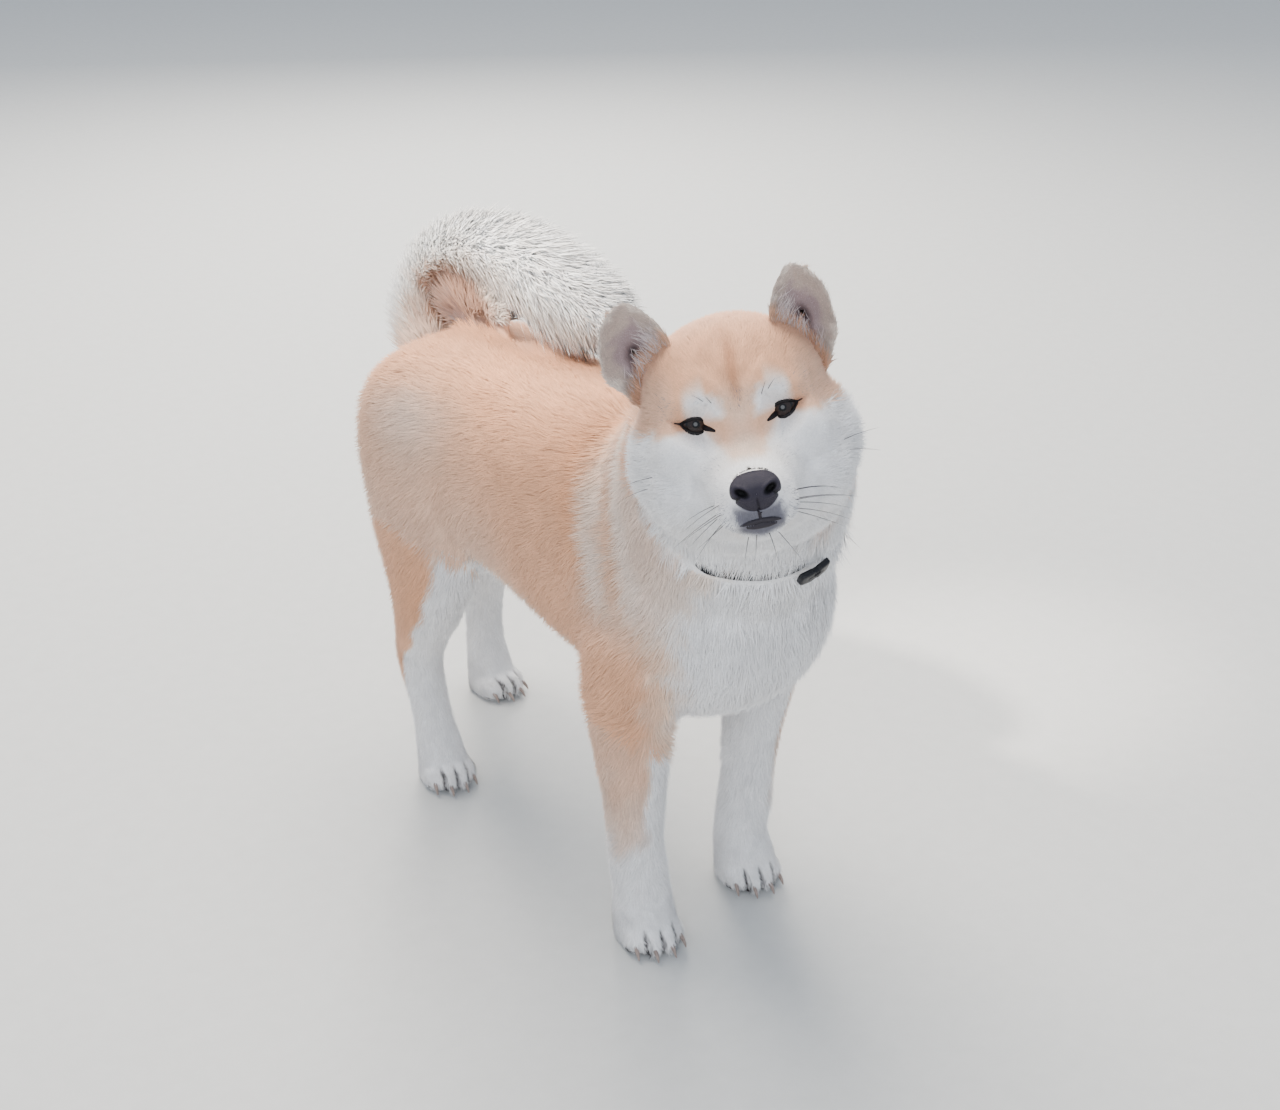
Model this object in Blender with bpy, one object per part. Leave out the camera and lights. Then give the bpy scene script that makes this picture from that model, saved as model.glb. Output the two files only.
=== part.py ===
"""A standing shiba inu at life size, as a still museum model.

Metres, +Z up, nose towards -Y, so that the dog's right side is at -X. The origin is on the floor under the
middle of the whole model. Every size is that of the coat's outside: the flesh is modelled whole from lofts and
ellipsoids, blended, thinned to few faces and then parted into named pieces with thin cuts. The tail's long
hair is cut in locks. Eyes, nose, ears, claws and collar are pieces of their own, set against what carries them.
"""

import math
import random

import bmesh
import bpy
import numpy as np
from mathutils import Matrix, Vector
from mathutils.bvhtree import BVHTree

# Driving dimensions of the dog
WITHERS = 0.402
CROUP = 0.399
CHEST_WIDTH = 0.184
LOIN_WIDTH = 0.166
RUMP_WIDTH = 0.195
CHEST_FRONT = -0.236
RUMP_BACK = 0.222
BRISKET = 0.178
TUCK_UP = 0.208
BACK_SQUARENESS = 3.0
BELLY_SQUARENESS = 2.3

# Gap between pieces that touch
GAP = 0.0003

# Solver for cuts in the face, where small forms graze each other
FINE = "MANIFOLD"

# Blending of the flesh
VOXEL = 0.0024
BLEND_PASSES = 6
BODY_FACES = 2700
HEAD_FACES = 1400

# Torso, tail end to chest: place along Y, its middle sideways, half width, height of the back, of the belly
TORSO = [
    (RUMP_BACK + 0.002, -0.004, 0.012, 0.322, 0.288),
    (RUMP_BACK - 0.004, -0.004, 0.048, 0.350, 0.250),
    (RUMP_BACK - 0.022, -0.004, RUMP_WIDTH / 2 - 0.012, 0.378, 0.222),
    (0.160, -0.004, RUMP_WIDTH / 2, CROUP, 0.206),
    (0.110, -0.002, RUMP_WIDTH / 2 - 0.006, CROUP + 0.004, TUCK_UP - 0.002),
    (0.050, 0.000, LOIN_WIDTH / 2, CROUP + 0.003, TUCK_UP),
    (-0.010, 0.002, LOIN_WIDTH / 2 + 0.004, CROUP, 0.199),
    (-0.070, 0.006, CHEST_WIDTH / 2 - 0.001, CROUP + 0.003, 0.186),
    (-0.125, 0.009, CHEST_WIDTH / 2, WITHERS, BRISKET),
    (-0.170, 0.011, CHEST_WIDTH / 2 - 0.002, WITHERS - 0.004, 0.182),
    (-0.205, 0.012, CHEST_WIDTH / 2 - 0.018, 0.374, 0.202),
    (CHEST_FRONT + 0.007, 0.012, 0.048, 0.340, 0.232),
    (CHEST_FRONT, 0.012, 0.016, 0.306, 0.266),
]

# Head: its own frame has its origin between the eyes, nose towards -Y
HEAD_AT = Vector((-0.0616, -0.2577, 0.4650))
HEAD_YAW = math.radians(-37.5)
HEAD_RAISED = math.radians(12.0)
HEAD_ROLL = math.radians(-11.6)
HEAD_POSE = (
    Matrix.Translation(HEAD_AT)
    @ Matrix.Rotation(HEAD_YAW, 4, "Z")
    @ Matrix.Rotation(-HEAD_RAISED, 4, "X")
    @ Matrix.Rotation(HEAD_ROLL, 4, "Y")
)
EYE_SPAN = 0.0575
EYE_RADIUS = 0.0108
EYE_AT = Vector((EYE_SPAN / 2, 0.0085, 0.0))
LID_THICK = 0.0022
LID_OPENING = (0.0110, 0.0050)
LID_TILT = math.radians(20.0)
NOSE_AT = Vector((0.0, -0.0715, -0.0320))
NOSE_WIDTH = 0.0315
NOSE_HEIGHT = 0.0250

# Rounded masses of the head, in its own frame: centre, radii. Those off the middle are made on both sides
HEAD_MASSES = {
    "skull": ((0.0, 0.052, 0.009), (0.063, 0.072, 0.053)),
    "forehead": ((0.0, 0.018, 0.008), (0.050, 0.030, 0.034)),
    "occiput": ((0.0, 0.095, -0.010), (0.060, 0.052, 0.058)),
    "cheek": ((0.039, 0.046, -0.030), (0.042, 0.052, 0.047)),
    "brow": ((0.026, 0.004, 0.014), (0.019, 0.014, 0.012)),
    "cheekbone": ((0.034, 0.016, -0.018), (0.031, 0.031, 0.026)),
    "jowl": ((0.040, 0.026, -0.042), (0.033, 0.040, 0.038)),
    "jaw": ((0.0, 0.020, -0.050), (0.055, 0.056, 0.034)),
    "throat": ((0.0, 0.050, -0.066), (0.067, 0.052, 0.036)),
    "flew": ((0.0125, -0.050, -0.047), (0.0140, 0.021, 0.0135)),
    "chin": ((0.0, -0.043, -0.0600), (0.0150, 0.020, 0.0100)),
}

# Muzzle, root to tip, in the head's frame: place along Y, half width, top, bottom
MUZZLE = [
    (0.030, 0.048, 0.012, -0.070),
    (0.002, 0.044, 0.000, -0.070),
    (-0.020, 0.034, -0.010, -0.067),
    (-0.038, 0.0270, -0.0165, -0.064),
    (-0.056, 0.0225, -0.0210, -0.060),
    (-0.068, 0.0165, -0.0255, -0.054),
    (-0.0720, 0.007, -0.032, -0.046),
]

# Neck, chest end to head end: centre, half width, half depth
NECK = [
    ((0.007, -0.085, 0.285), 0.086, 0.086),
    ((0.010, -0.138, 0.322), 0.090, 0.096),
    ((0.004, -0.172, 0.366), 0.088, 0.092),
    ((-0.010, -0.196, 0.404), 0.084, 0.083),
    ((-0.020, -0.206, 0.435), 0.075, 0.072),
]

# Legs, top to sole: height, centre X from the middle, centre Y, half width, reach forwards, reach backwards
FORELEG = {
    "right": [
        (0.265, 0.056, -0.135, 0.030, 0.052, 0.048),
        (0.215, 0.058, -0.138, 0.0335, 0.043, 0.046),
        (0.170, 0.060, -0.145, 0.0300, 0.034, 0.038),
        (0.130, 0.061, -0.148, 0.0262, 0.0275, 0.0290),
        (0.092, 0.060, -0.149, 0.0234, 0.0240, 0.0245),
        (0.062, 0.058, -0.150, 0.0240, 0.0250, 0.0245),
        (0.042, 0.057, -0.153, 0.0230, 0.0230, 0.0225),
        (0.022, 0.058, -0.158, 0.0240, 0.0260, 0.0250),
        (0.006, 0.058, -0.161, 0.0250, 0.0285, 0.0270),
        (-0.004, 0.058, -0.161, 0.0230, 0.0265, 0.0250),
    ],
    "left": [
        (0.265, 0.080, -0.138, 0.032, 0.052, 0.048),
        (0.215, 0.083, -0.130, 0.0350, 0.044, 0.042),
        (0.170, 0.078, -0.127, 0.0300, 0.034, 0.034),
        (0.130, 0.073, -0.128, 0.0256, 0.0270, 0.0280),
        (0.092, 0.067, -0.131, 0.0232, 0.0240, 0.0240),
        (0.062, 0.062, -0.133, 0.0240, 0.0250, 0.0240),
        (0.042, 0.057, -0.136, 0.0228, 0.0230, 0.0225),
        (0.022, 0.056, -0.142, 0.0240, 0.0260, 0.0250),
        (0.006, 0.056, -0.145, 0.0250, 0.0285, 0.0270),
        (-0.004, 0.056, -0.145, 0.0230, 0.0265, 0.0250),
    ],
}
HINDLEG = {
    "right": [
        (0.330, 0.054, 0.148, 0.042, 0.062, 0.064),
        (0.285, 0.060, 0.140, 0.042, 0.066, 0.075),
        (0.240, 0.063, 0.128, 0.0405, 0.060, 0.072),
        (0.200, 0.066, 0.124, 0.0350, 0.048, 0.054),
        (0.165, 0.066, 0.133, 0.0290, 0.036, 0.038),
        (0.135, 0.065, 0.146, 0.0235, 0.026, 0.029),
        (0.110, 0.064, 0.154, 0.0205, 0.0215, 0.0260),
        (0.080, 0.063, 0.148, 0.0190, 0.0185, 0.0210),
        (0.050, 0.062, 0.139, 0.0190, 0.0190, 0.0200),
        (0.026, 0.062, 0.131, 0.0210, 0.0220, 0.0225),
        (0.006, 0.062, 0.126, 0.0230, 0.0275, 0.0240),
        (-0.004, 0.062, 0.126, 0.0210, 0.0255, 0.0220),
    ],
    "left": [
        (0.330, 0.052, 0.150, 0.042, 0.062, 0.060),
        (0.285, 0.058, 0.150, 0.042, 0.066, 0.068),
        (0.240, 0.064, 0.158, 0.0405, 0.060, 0.068),
        (0.200, 0.068, 0.176, 0.0350, 0.050, 0.056),
        (0.165, 0.068, 0.204, 0.0290, 0.040, 0.044),
        (0.135, 0.066, 0.232, 0.0235, 0.031, 0.034),
        (0.110, 0.064, 0.247, 0.0205, 0.0230, 0.0270),
        (0.080, 0.062, 0.249, 0.0190, 0.0190, 0.0210),
        (0.050, 0.060, 0.245, 0.0190, 0.0190, 0.0200),
        (0.026, 0.059, 0.238, 0.0210, 0.0220, 0.0225),
        (0.006, 0.058, 0.231, 0.0230, 0.0275, 0.0240),
        (-0.004, 0.058, 0.231, 0.0210, 0.0255, 0.0220),
    ],
}
PAW_TURN = {
    "fore_right": math.radians(-12.0),
    "fore_left": math.radians(-14.0),
    "hind_right": math.radians(-10.0),
    "hind_left": math.radians(8.0),
}
# Toes from the middle outwards: sideways share of the spread, centre forward of the sole's, radii
TOE_SPREAD = 0.0185
TOES = [
    (-1.00, 0.010, (0.0083, 0.0145, 0.0108)),
    (-0.37, 0.0185, (0.0086, 0.0155, 0.0122)),
    (0.37, 0.0185, (0.0086, 0.0155, 0.0122)),
    (1.00, 0.010, (0.0083, 0.0145, 0.0108)),
]
TOE_HEIGHT = 0.0105

# Tail, root to tip: centre, radius of the core, reach of the coat from the centre
TAIL = [
    ((0.000, 0.196, 0.340), 0.018, 0.036),
    ((0.000, 0.226, 0.376), 0.015, 0.030),
    ((0.000, 0.2335, 0.406), 0.0125, 0.0255),
    ((0.002, 0.2185, 0.4345), 0.0125, 0.0255),
    ((0.006, 0.1850, 0.4560), 0.014, 0.0290),
    ((0.012, 0.1460, 0.4645), 0.016, 0.0335),
    ((0.020, 0.1105, 0.4620), 0.018, 0.0375),
    ((0.027, 0.0800, 0.4535), 0.0190, 0.0385),
    ((0.034, 0.0510, 0.4430), 0.0165, 0.0340),
    ((0.039, 0.0270, 0.4350), 0.012, 0.0260),
    ((0.042, 0.0080, 0.4290), 0.007, 0.0160),
]

# Claws: places along the toe from its centre, and heights from it
CLAW_LINE = [(0.0075, -0.0010), (0.0125, -0.0016), (0.0165, -0.0038), (0.0195, -0.0078)]
CLAW_RADII = [0.0021, 0.0020, 0.0016, 0.0006]
PAW_VOXEL = 0.0015
PAW_FACES = 190
PAW_CUT = 0.044

# Cuts between pieces: a centre, a normal or a lean outwards, and half sizes
CUT_MARGIN = 0.008
NECK_CUT_AT = (0.0, 0.072, -0.050)
NECK_CUT_NORMAL = (0.155, -0.724, 0.667)
NECK_BASE_CUT = ((0.0, -0.150, 0.335), (0.0, -0.6, 0.8), 0.140, 0.130)
LEG_CUTS = [
    ((0.074, -0.135, 0.186), math.radians(35.0), 0.067, 0.076),
    ((0.062, 0.150, 0.228), math.radians(38.0), 0.062, 0.100),
]
STIFLE_CUTS = {"right": (-0.066, 0.137, 0.165), "left": (0.068, 0.204, 0.165)}

# Mouth, in the head's frame: from the middle of the lips back to the left corner
MOUTH_LINE = [
    (0.000, -0.073, -0.0535),
    (0.009, -0.070, -0.0555),
    (0.017, -0.059, -0.0575),
    (0.023, -0.046, -0.0570),
    (0.028, -0.032, -0.0560),
]
LIP_GROOVE = [(0.0, -0.076, -0.044), (0.0, -0.075, -0.047), (0.0, -0.074, -0.050), (0.0, -0.073, -0.0525)]
LIP_RADIUS = 0.0026
MOUTH_CUT = 0.0011

# Nose leather from back to front: place, half width, half height, lift of its centre
NOSE_RINGS = [
    (0.0100, 0.0125, 0.0100, 0.0004),
    (0.0040, NOSE_WIDTH / 2, NOSE_HEIGHT / 2, 0.0),
    (-0.0025, NOSE_WIDTH / 2, NOSE_HEIGHT / 2, 0.0),
    (-0.0070, 0.0138, 0.0108, -0.0004),
    (-0.0095, 0.0100, 0.0078, -0.0008),
    (-0.0105, 0.0045, 0.0034, -0.0010),
]
NOSTRILS = [
    ((0.0080, -0.0085, -0.0008), (0.0034, 0.0060, 0.0040), (0.0, 0.0, math.radians(-20.0))),
    ((0.0125, -0.0050, -0.0042), (0.0048, 0.0060, 0.0012), (0.0, math.radians(28.0), 0.0)),
]

# Ears, in the head's frame: inner and outer end of the root, tip. The right one is held further out
EAR_CORNERS = {
    "right": ((-0.033, 0.038, 0.047), (-0.075, 0.046, 0.008), (-0.0700, 0.027, 0.0775)),
    "left": ((0.030, 0.038, 0.048), (0.071, 0.046, 0.012), (0.0590, 0.024, 0.0825)),
}
# Rows from root to tip: height, share of the width, bulge backwards, thickness
EAR_ROWS = [
    (-0.30, 0.80, 0.016, 0.0100),
    (0.00, 1.00, 0.018, 0.0080),
    (0.25, 1.03, 0.016, 0.0064),
    (0.50, 0.90, 0.012, 0.0056),
    (0.75, 0.64, 0.007, 0.0050),
    (0.92, 0.36, 0.003, 0.0044),
    (1.00, 0.12, 0.001, 0.0030),
]
EAR_COLUMNS = 7

# Collar: a point inside the neck, the normal of the strap's plane, and the strap's and buckle's sizes
COLLAR_AT = Vector((-0.004, -0.170, 0.392))
COLLAR_NORMAL = Vector((-0.12, -0.54, 0.83)).normalized()
STRAP_WIDTH = 0.0100
STRAP_THICK = 0.0030
STRAP_PROUD = 0.0012
STRAP_POINTS = 30
BUCKLE_AT = (-0.001, -0.244, 0.338)
BUCKLE_SIZE = (0.026, 0.0050, 0.0140)
BUCKLE_ROWS = [
    (-1.0, 0.72), (-0.92, 0.86), (-0.2, 1.0), (-0.1, 0.80), (0.1, 0.80), (0.2, 1.0), (0.9, 0.92), (1.0, 0.76)
]

# Locks of the tail: rows along it, how far they lean along it, and their shape from root to tip
LOCK_START = 0.022
LOCK_SPACING = 0.0268
LOCKS_AROUND = 6
LOCK_SWEEP = 1.35
LOCK_THICK = 0.0048
LOCK_STEPS = [0.0, 0.40, 0.78, 1.0]
LOCK_WIDTHS = [0.62, 1.00, 0.80, 0.22]
LOCK_DEPTHS = [1.0, 1.0, 0.62, 0.22]

# Hair that fills the curl of the tail down to the back: centre, half sizes, and the length of tail it keeps clear of
CURL_AT = (0.006, 0.1545, 0.4250)
CURL_SIZE = (0.0150, 0.0440, 0.0310)
CURL_CLEAR = 0.106

# Lengths along the tail where it is parted, half way between two rows of locks
TAIL_PARTINGS = [LOCK_START + 2.5 * LOCK_SPACING, LOCK_START + 6.5 * LOCK_SPACING]
TAIL_NAMES = ("tail_root", "tail_arch", "tail_tip")

SEED = 5
RED = (0.62, 0.36, 0.20)
CREAM = (0.80, 0.64, 0.48)
WHITE = (0.86, 0.83, 0.79)
BLACK = (0.02, 0.02, 0.022)
BROWN = (0.05, 0.025, 0.015)
HORN = (0.16, 0.13, 0.11)


def clear_scene():
    for thing in list(bpy.data.objects):
        bpy.data.objects.remove(thing, do_unlink=True)


def make(name, points, faces):
    """A mesh object from points and faces, with its faces turned outwards."""
    mesh = bpy.data.meshes.new(name)
    mesh.from_pydata([tuple(point) for point in points], [], faces)
    shell = bmesh.new()
    shell.from_mesh(mesh)
    bmesh.ops.recalc_face_normals(shell, faces=shell.faces)
    shell.to_mesh(mesh)
    shell.free()
    obj = bpy.data.objects.new(name, mesh)
    bpy.context.scene.collection.objects.link(obj)
    return obj


def remove(*objects):
    for obj in objects:
        bpy.data.objects.remove(obj, do_unlink=True)


def apply_modifiers(obj):
    graph = bpy.context.evaluated_depsgraph_get()
    mesh = bpy.data.meshes.new_from_object(obj.evaluated_get(graph))
    obj.modifiers.clear()
    obj.data = mesh


def curve_through(rows, steps):
    """Rows of numbers joined by a smooth curve, with the given steps from each row to the next."""
    rows = np.array(rows, dtype=float)
    ends = np.vstack([2 * rows[0] - rows[1], rows, 2 * rows[-1] - rows[-2]])
    result = []
    for index in range(len(rows) - 1):
        before, start, end, after = ends[index:index + 4]
        for step in range(steps):
            t = step / steps
            result.append(0.5 * (
                2 * start + (end - before) * t
                + (2 * before - 5 * start + 4 * end - after) * t ** 2
                + (3 * start - before - 3 * end + after) * t ** 3
            ))
    result.append(rows[-1])
    return result


def round_ring(sides, squareness):
    """Points of a unit ring, fuller than a circle where squareness is above 2."""
    ring = []
    for side in range(sides):
        angle = 2 * math.pi * side / sides
        across = math.copysign(abs(math.cos(angle)) ** (2 / squareness), math.cos(angle))
        along = math.copysign(abs(math.sin(angle)) ** (2 / squareness), math.sin(angle))
        ring.append((across, along))
    return ring


def barrel_ring(sides):
    """A unit ring with a flat back and a rounder belly."""
    pairs = zip(round_ring(sides, BACK_SQUARENESS), round_ring(sides, BELLY_SQUARENESS))
    return [upper if upper[1] > 0 else lower for upper, lower in pairs]


def loft(name, rings):
    """A closed skin over rings of equally many points."""
    sides = len(rings[0])
    points = [point for ring in rings for point in ring]
    faces = [tuple(range(sides)), tuple(range(len(points) - sides, len(points)))]
    for row in range(len(rings) - 1):
        for side in range(sides):
            near = row * sides + side
            far = row * sides + (side + 1) % sides
            faces.append((near, far, far + sides, near + sides))
    return make(name, points, faces)


def ellipsoid(name, centre, radii, pose=None, columns=24, rows=14):
    points = [(0, 0, 1)]
    for row in range(1, rows):
        polar = math.pi * row / rows
        for column in range(columns):
            angle = 2 * math.pi * column / columns
            points.append((math.sin(polar) * math.cos(angle), math.sin(polar) * math.sin(angle), math.cos(polar)))
    points.append((0, 0, -1))
    faces = []
    last = len(points) - 1
    for column in range(columns):
        beside = (column + 1) % columns
        faces.append((0, 1 + column, 1 + beside))
        faces.append((last, last - columns + beside, last - columns + column))
        for row in range(rows - 2):
            near = 1 + row * columns
            faces.append((near + column, near + columns + column, near + columns + beside, near + beside))
    pose = pose or Matrix.Identity(4)
    centre = Vector(centre)
    placed = [pose @ (centre + Vector(point) * Vector(radii)) for point in points]
    return make(name, placed, faces)


def turned(centre, angles):
    """A pose that turns about a centre by angles about X, Y and Z."""
    centre = Vector(centre)
    turn = Matrix.Rotation(angles[2], 4, "Z") @ Matrix.Rotation(angles[1], 4, "Y")
    turn = turn @ Matrix.Rotation(angles[0], 4, "X")
    return Matrix.Translation(centre) @ turn @ Matrix.Translation(-centre)


def tube(name, path, radii, sides=8):
    """A closed round tube along a path, with a radius at each of its points."""
    path = [Vector(point) for point in path]
    rings = []
    across = None
    for index, point in enumerate(path):
        ahead = (path[min(index + 1, len(path) - 1)] - path[max(index - 1, 0)]).normalized()
        guide = across or ahead.orthogonal()
        across = (guide - ahead * guide.dot(ahead)).normalized()
        beside = ahead.cross(across)
        ring = []
        for side in range(sides):
            angle = 2 * math.pi * side / sides
            ring.append(point + (across * math.cos(angle) + beside * math.sin(angle)) * radii[index])
        rings.append(ring)
    return loft(name, rings)


def merged(name, objects):
    """One object that holds the meshes of all those given, which are removed."""
    points = []
    faces = []
    for obj in objects:
        first = len(points)
        points.extend(obj.data.vertices[index].co.copy() for index in range(len(obj.data.vertices)))
        faces.extend(tuple(first + corner for corner in face.vertices) for face in obj.data.polygons)
    remove(*objects)
    mesh = bpy.data.meshes.new(name)
    mesh.from_pydata(points, [], faces)
    obj = bpy.data.objects.new(name, mesh)
    bpy.context.scene.collection.objects.link(obj)
    return obj


def keep_largest(obj):
    """Keeps only the piece of a mesh that has the most points."""
    shell = bmesh.new()
    shell.from_mesh(obj.data)
    groups = islands(shell)
    keep = set(max(groups, key=len))
    bmesh.ops.delete(shell, geom=[point for point in shell.verts if point not in keep], context="VERTS")
    shell.to_mesh(obj.data)
    shell.free()


def islands(shell):
    unseen = set(shell.verts)
    groups = []
    while unseen:
        start = unseen.pop()
        group = [start]
        stack = [start]
        while stack:
            point = stack.pop()
            for edge in point.link_edges:
                other = edge.other_vert(point)
                if other in unseen:
                    unseen.remove(other)
                    group.append(other)
                    stack.append(other)
        groups.append(group)
    return groups


def blend(name, objects, voxel, passes, faces):
    """Melts overlapping forms into one, smooths it and thins it to about the given count of faces."""
    obj = merged(name, objects)
    remesh = obj.modifiers.new("melt", "REMESH")
    remesh.mode = "VOXEL"
    remesh.voxel_size = voxel
    smooth = obj.modifiers.new("smooth", "SMOOTH")
    smooth.factor = 0.5
    smooth.iterations = passes
    apply_modifiers(obj)
    keep_largest(obj)
    thin(obj, faces)
    return obj


def thin(obj, faces):
    """Thins a mesh to about the given count of triangles."""
    obj.data.calc_loop_triangles()
    decimate = obj.modifiers.new("thin", "DECIMATE")
    decimate.ratio = min(1.0, faces / len(obj.data.loop_triangles))
    decimate.use_collapse_triangulate = True
    apply_modifiers(obj)


def slice_off(obj, point, normal):
    """Cuts away all on the normal's side of a plane and closes the cut."""
    shell = bmesh.new()
    shell.from_mesh(obj.data)
    everything = shell.verts[:] + shell.edges[:] + shell.faces[:]
    bmesh.ops.bisect_plane(
        shell, geom=everything, plane_co=point, plane_no=normal, clear_outer=True, dist=1e-6
    )
    rim = [edge for edge in shell.edges if edge.is_boundary]
    bmesh.ops.triangle_fill(shell, use_beauty=True, edges=rim)
    bmesh.ops.recalc_face_normals(shell, faces=shell.faces)
    shell.to_mesh(obj.data)
    shell.free()


def combine(obj, others, operation, solver="EXACT"):
    """Cuts or joins whole objects, then removes the others."""
    for other in others:
        step = obj.modifiers.new("combine", "BOOLEAN")
        step.operation = operation
        step.solver = solver
        step.object = other
        apply_modifiers(obj)
        remove(other)


def copy_of(obj, name):
    twin = bpy.data.objects.new(name, obj.data.copy())
    bpy.context.scene.collection.objects.link(twin)
    return twin


def swollen(obj, by):
    """A copy of a mesh with its surface moved outwards."""
    twin = copy_of(obj, "swollen")
    shell = bmesh.new()
    shell.from_mesh(twin.data)
    shell.normal_update()
    for point in shell.verts:
        point.co += point.normal * by * point.calc_shell_factor()
    shell.to_mesh(twin.data)
    shell.free()
    return twin


def slab(centre, normal, half_wide, half_deep):
    """A thin box across a limb, as thick as the gap between pieces."""
    normal = Vector(normal).normalized()
    across = normal.orthogonal().normalized()
    if abs(normal.x) < 0.95:
        across = (Vector((1, 0, 0)) - normal * normal.x).normalized()
    deep = normal.cross(across)
    rings = []
    for lift in (-GAP / 2, GAP / 2):
        ring = []
        for wide, far in ((-1, -1), (1, -1), (1, 1), (-1, 1)):
            ring.append(Vector(centre) + across * wide * half_wide + deep * far * half_deep + normal * lift)
        rings.append(ring)
    return loft("slab", rings)


def separated(obj):
    """The loose pieces of a mesh as objects of their own, with the middle of each one's box."""
    shell = bmesh.new()
    shell.from_mesh(obj.data)
    pieces = []
    for group in islands(shell):
        if len(group) < 12:
            continue
        keep = set(group)
        number = {point: index for index, point in enumerate(group)}
        faces = [
            tuple(number[corner] for corner in face.verts) for face in shell.faces if face.verts[0] in keep
        ]
        piece = make(obj.name + "_piece", [point.co.copy() for point in group], faces)
        corners = [point.co for point in group]
        low = Vector([min(corner[axis] for corner in corners) for axis in range(3)])
        high = Vector([max(corner[axis] for corner in corners) for axis in range(3)])
        pieces.append((piece, (low + high) / 2))
    shell.free()
    remove(obj)
    return pieces


def paint(obj, name, colour, roughness=0.85):
    """Names a finished piece and gives it a material of its own."""
    obj.name = name
    obj.data.name = name
    surface = bpy.data.materials.new(name)
    surface.use_nodes = True
    shader = surface.node_tree.nodes["Principled BSDF"]
    shader.inputs["Base Color"].default_value = (*colour, 1.0)
    shader.inputs["Roughness"].default_value = roughness
    surface.diffuse_color = (*colour, 1.0)
    obj.data.materials.clear()
    obj.data.materials.append(surface)
    obj.data.shade_smooth()
    return obj


def torso_form():
    rings = []
    for place, aside, half_wide, top, bottom in curve_through(TORSO, 4):
        middle = (top + bottom) / 2
        half_high = (top - bottom) / 2
        rings.append([
            Vector((aside + across * half_wide, place, middle + up * half_high))
            for across, up in barrel_ring(28)
        ])
    return loft("torso_form", rings)


def neck_form():
    rows = curve_through([(*centre, wide, deep) for centre, wide, deep in NECK], 4)
    rings = []
    for index, row in enumerate(rows):
        ahead = Vector(rows[min(index + 1, len(rows) - 1)][:3]) - Vector(rows[max(index - 1, 0)][:3])
        ahead.normalize()
        across = (Vector((1, 0, 0)) - ahead * ahead.x).normalized()
        deep = ahead.cross(across)
        rings.append([
            Vector(row[:3]) + across * wide * row[3] + deep * far * row[4] for wide, far in round_ring(24, 2.1)
        ])
    return loft("neck_form", rings)


def leg_form(rows, side):
    rings = []
    for height, out, middle, half_wide, fore, aft in curve_through(rows, 3):
        ring = []
        for across, along in round_ring(18, 2.15):
            reach = aft if along > 0 else fore
            ring.append(Vector((side * out + across * half_wide, middle + along * reach, height)))
        rings.append(ring)
    return loft("leg_form", rings)


def muzzle_form():
    rings = []
    for place, half_wide, top, bottom in curve_through(MUZZLE, 3):
        middle = (top + bottom) / 2
        half_high = (top - bottom) / 2
        rings.append([
            HEAD_POSE @ Vector((across * half_wide, place, middle + up * half_high))
            for across, up in round_ring(24, 2.3)
        ])
    return loft("muzzle_form", rings)


def head_forms():
    forms = [muzzle_form()]
    for centre, radii in HEAD_MASSES.values():
        sides = (-1, 1) if centre[0] else (1,)
        for side in sides:
            forms.append(ellipsoid("mass", (centre[0] * side, centre[1], centre[2]), radii, HEAD_POSE))
    return forms


def flesh():
    """The whole body, legs and head melted into one form."""
    forms = [torso_form(), neck_form(), *head_forms()]
    for rows in (FORELEG, HINDLEG):
        forms.append(leg_form(rows["right"], -1))
        forms.append(leg_form(rows["left"], 1))
    return blend("flesh", forms, VOXEL, BLEND_PASSES, 120000)


def head_from(whole):
    """The head, cut from the flesh behind the cheeks, before its features."""
    point, normal = neck_cut()
    head = copy_of(whole, "head")
    slice_off(head, point - normal * CUT_MARGIN, -normal)
    thin(head, HEAD_FACES)
    slice_off(head, point + normal * GAP / 2, -normal)
    keep_largest(head)
    return head


def neck_cut():
    """A point and the normal of the plane between neck and head."""
    turn = HEAD_POSE.to_3x3()
    return HEAD_POSE @ Vector(NECK_CUT_AT), (turn @ Vector(NECK_CUT_NORMAL)).normalized()


def body_from(whole):
    """The body up to the head and down to the paws, as loose pieces with the middle of each."""
    point, normal = neck_cut()
    slice_off(whole, point + normal * CUT_MARGIN, normal)
    thin(whole, BODY_FACES)
    slice_off(whole, point - normal * GAP / 2, normal)
    slice_off(whole, Vector((0, 0, PAW_CUT + GAP / 2)), Vector((0, 0, -1)))
    cuts = [slab(*NECK_BASE_CUT)]
    for side in (-1, 1):
        for (out, place, height), lean, half_wide, half_deep in LEG_CUTS:
            centre = (side * out, place, height)
            normal = (-side * math.sin(lean), 0, math.cos(lean))
            cuts.append(slab(centre, normal, half_wide, half_deep))
    for side, (out, place, height) in STIFLE_CUTS.items():
        cuts.append(slab((out, place, height), (0, 0, 1), 0.050, 0.060))
    combine(whole, cuts, "DIFFERENCE")
    return separated(whole)


def name_body(pieces):
    """Names the loose pieces of the body by where they are."""
    named = {}
    for piece, middle in pieces:
        side = "right" if middle.x < 0 else "left"
        if middle.z > 0.34:
            name = "neck"
        elif middle.z > 0.26:
            name = "torso"
        elif middle.y < 0:
            name = "foreleg_" + side
        elif middle.z > 0.16:
            name = "thigh_" + side
        else:
            name = "shank_" + side
        named[name] = piece
    return named


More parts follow.
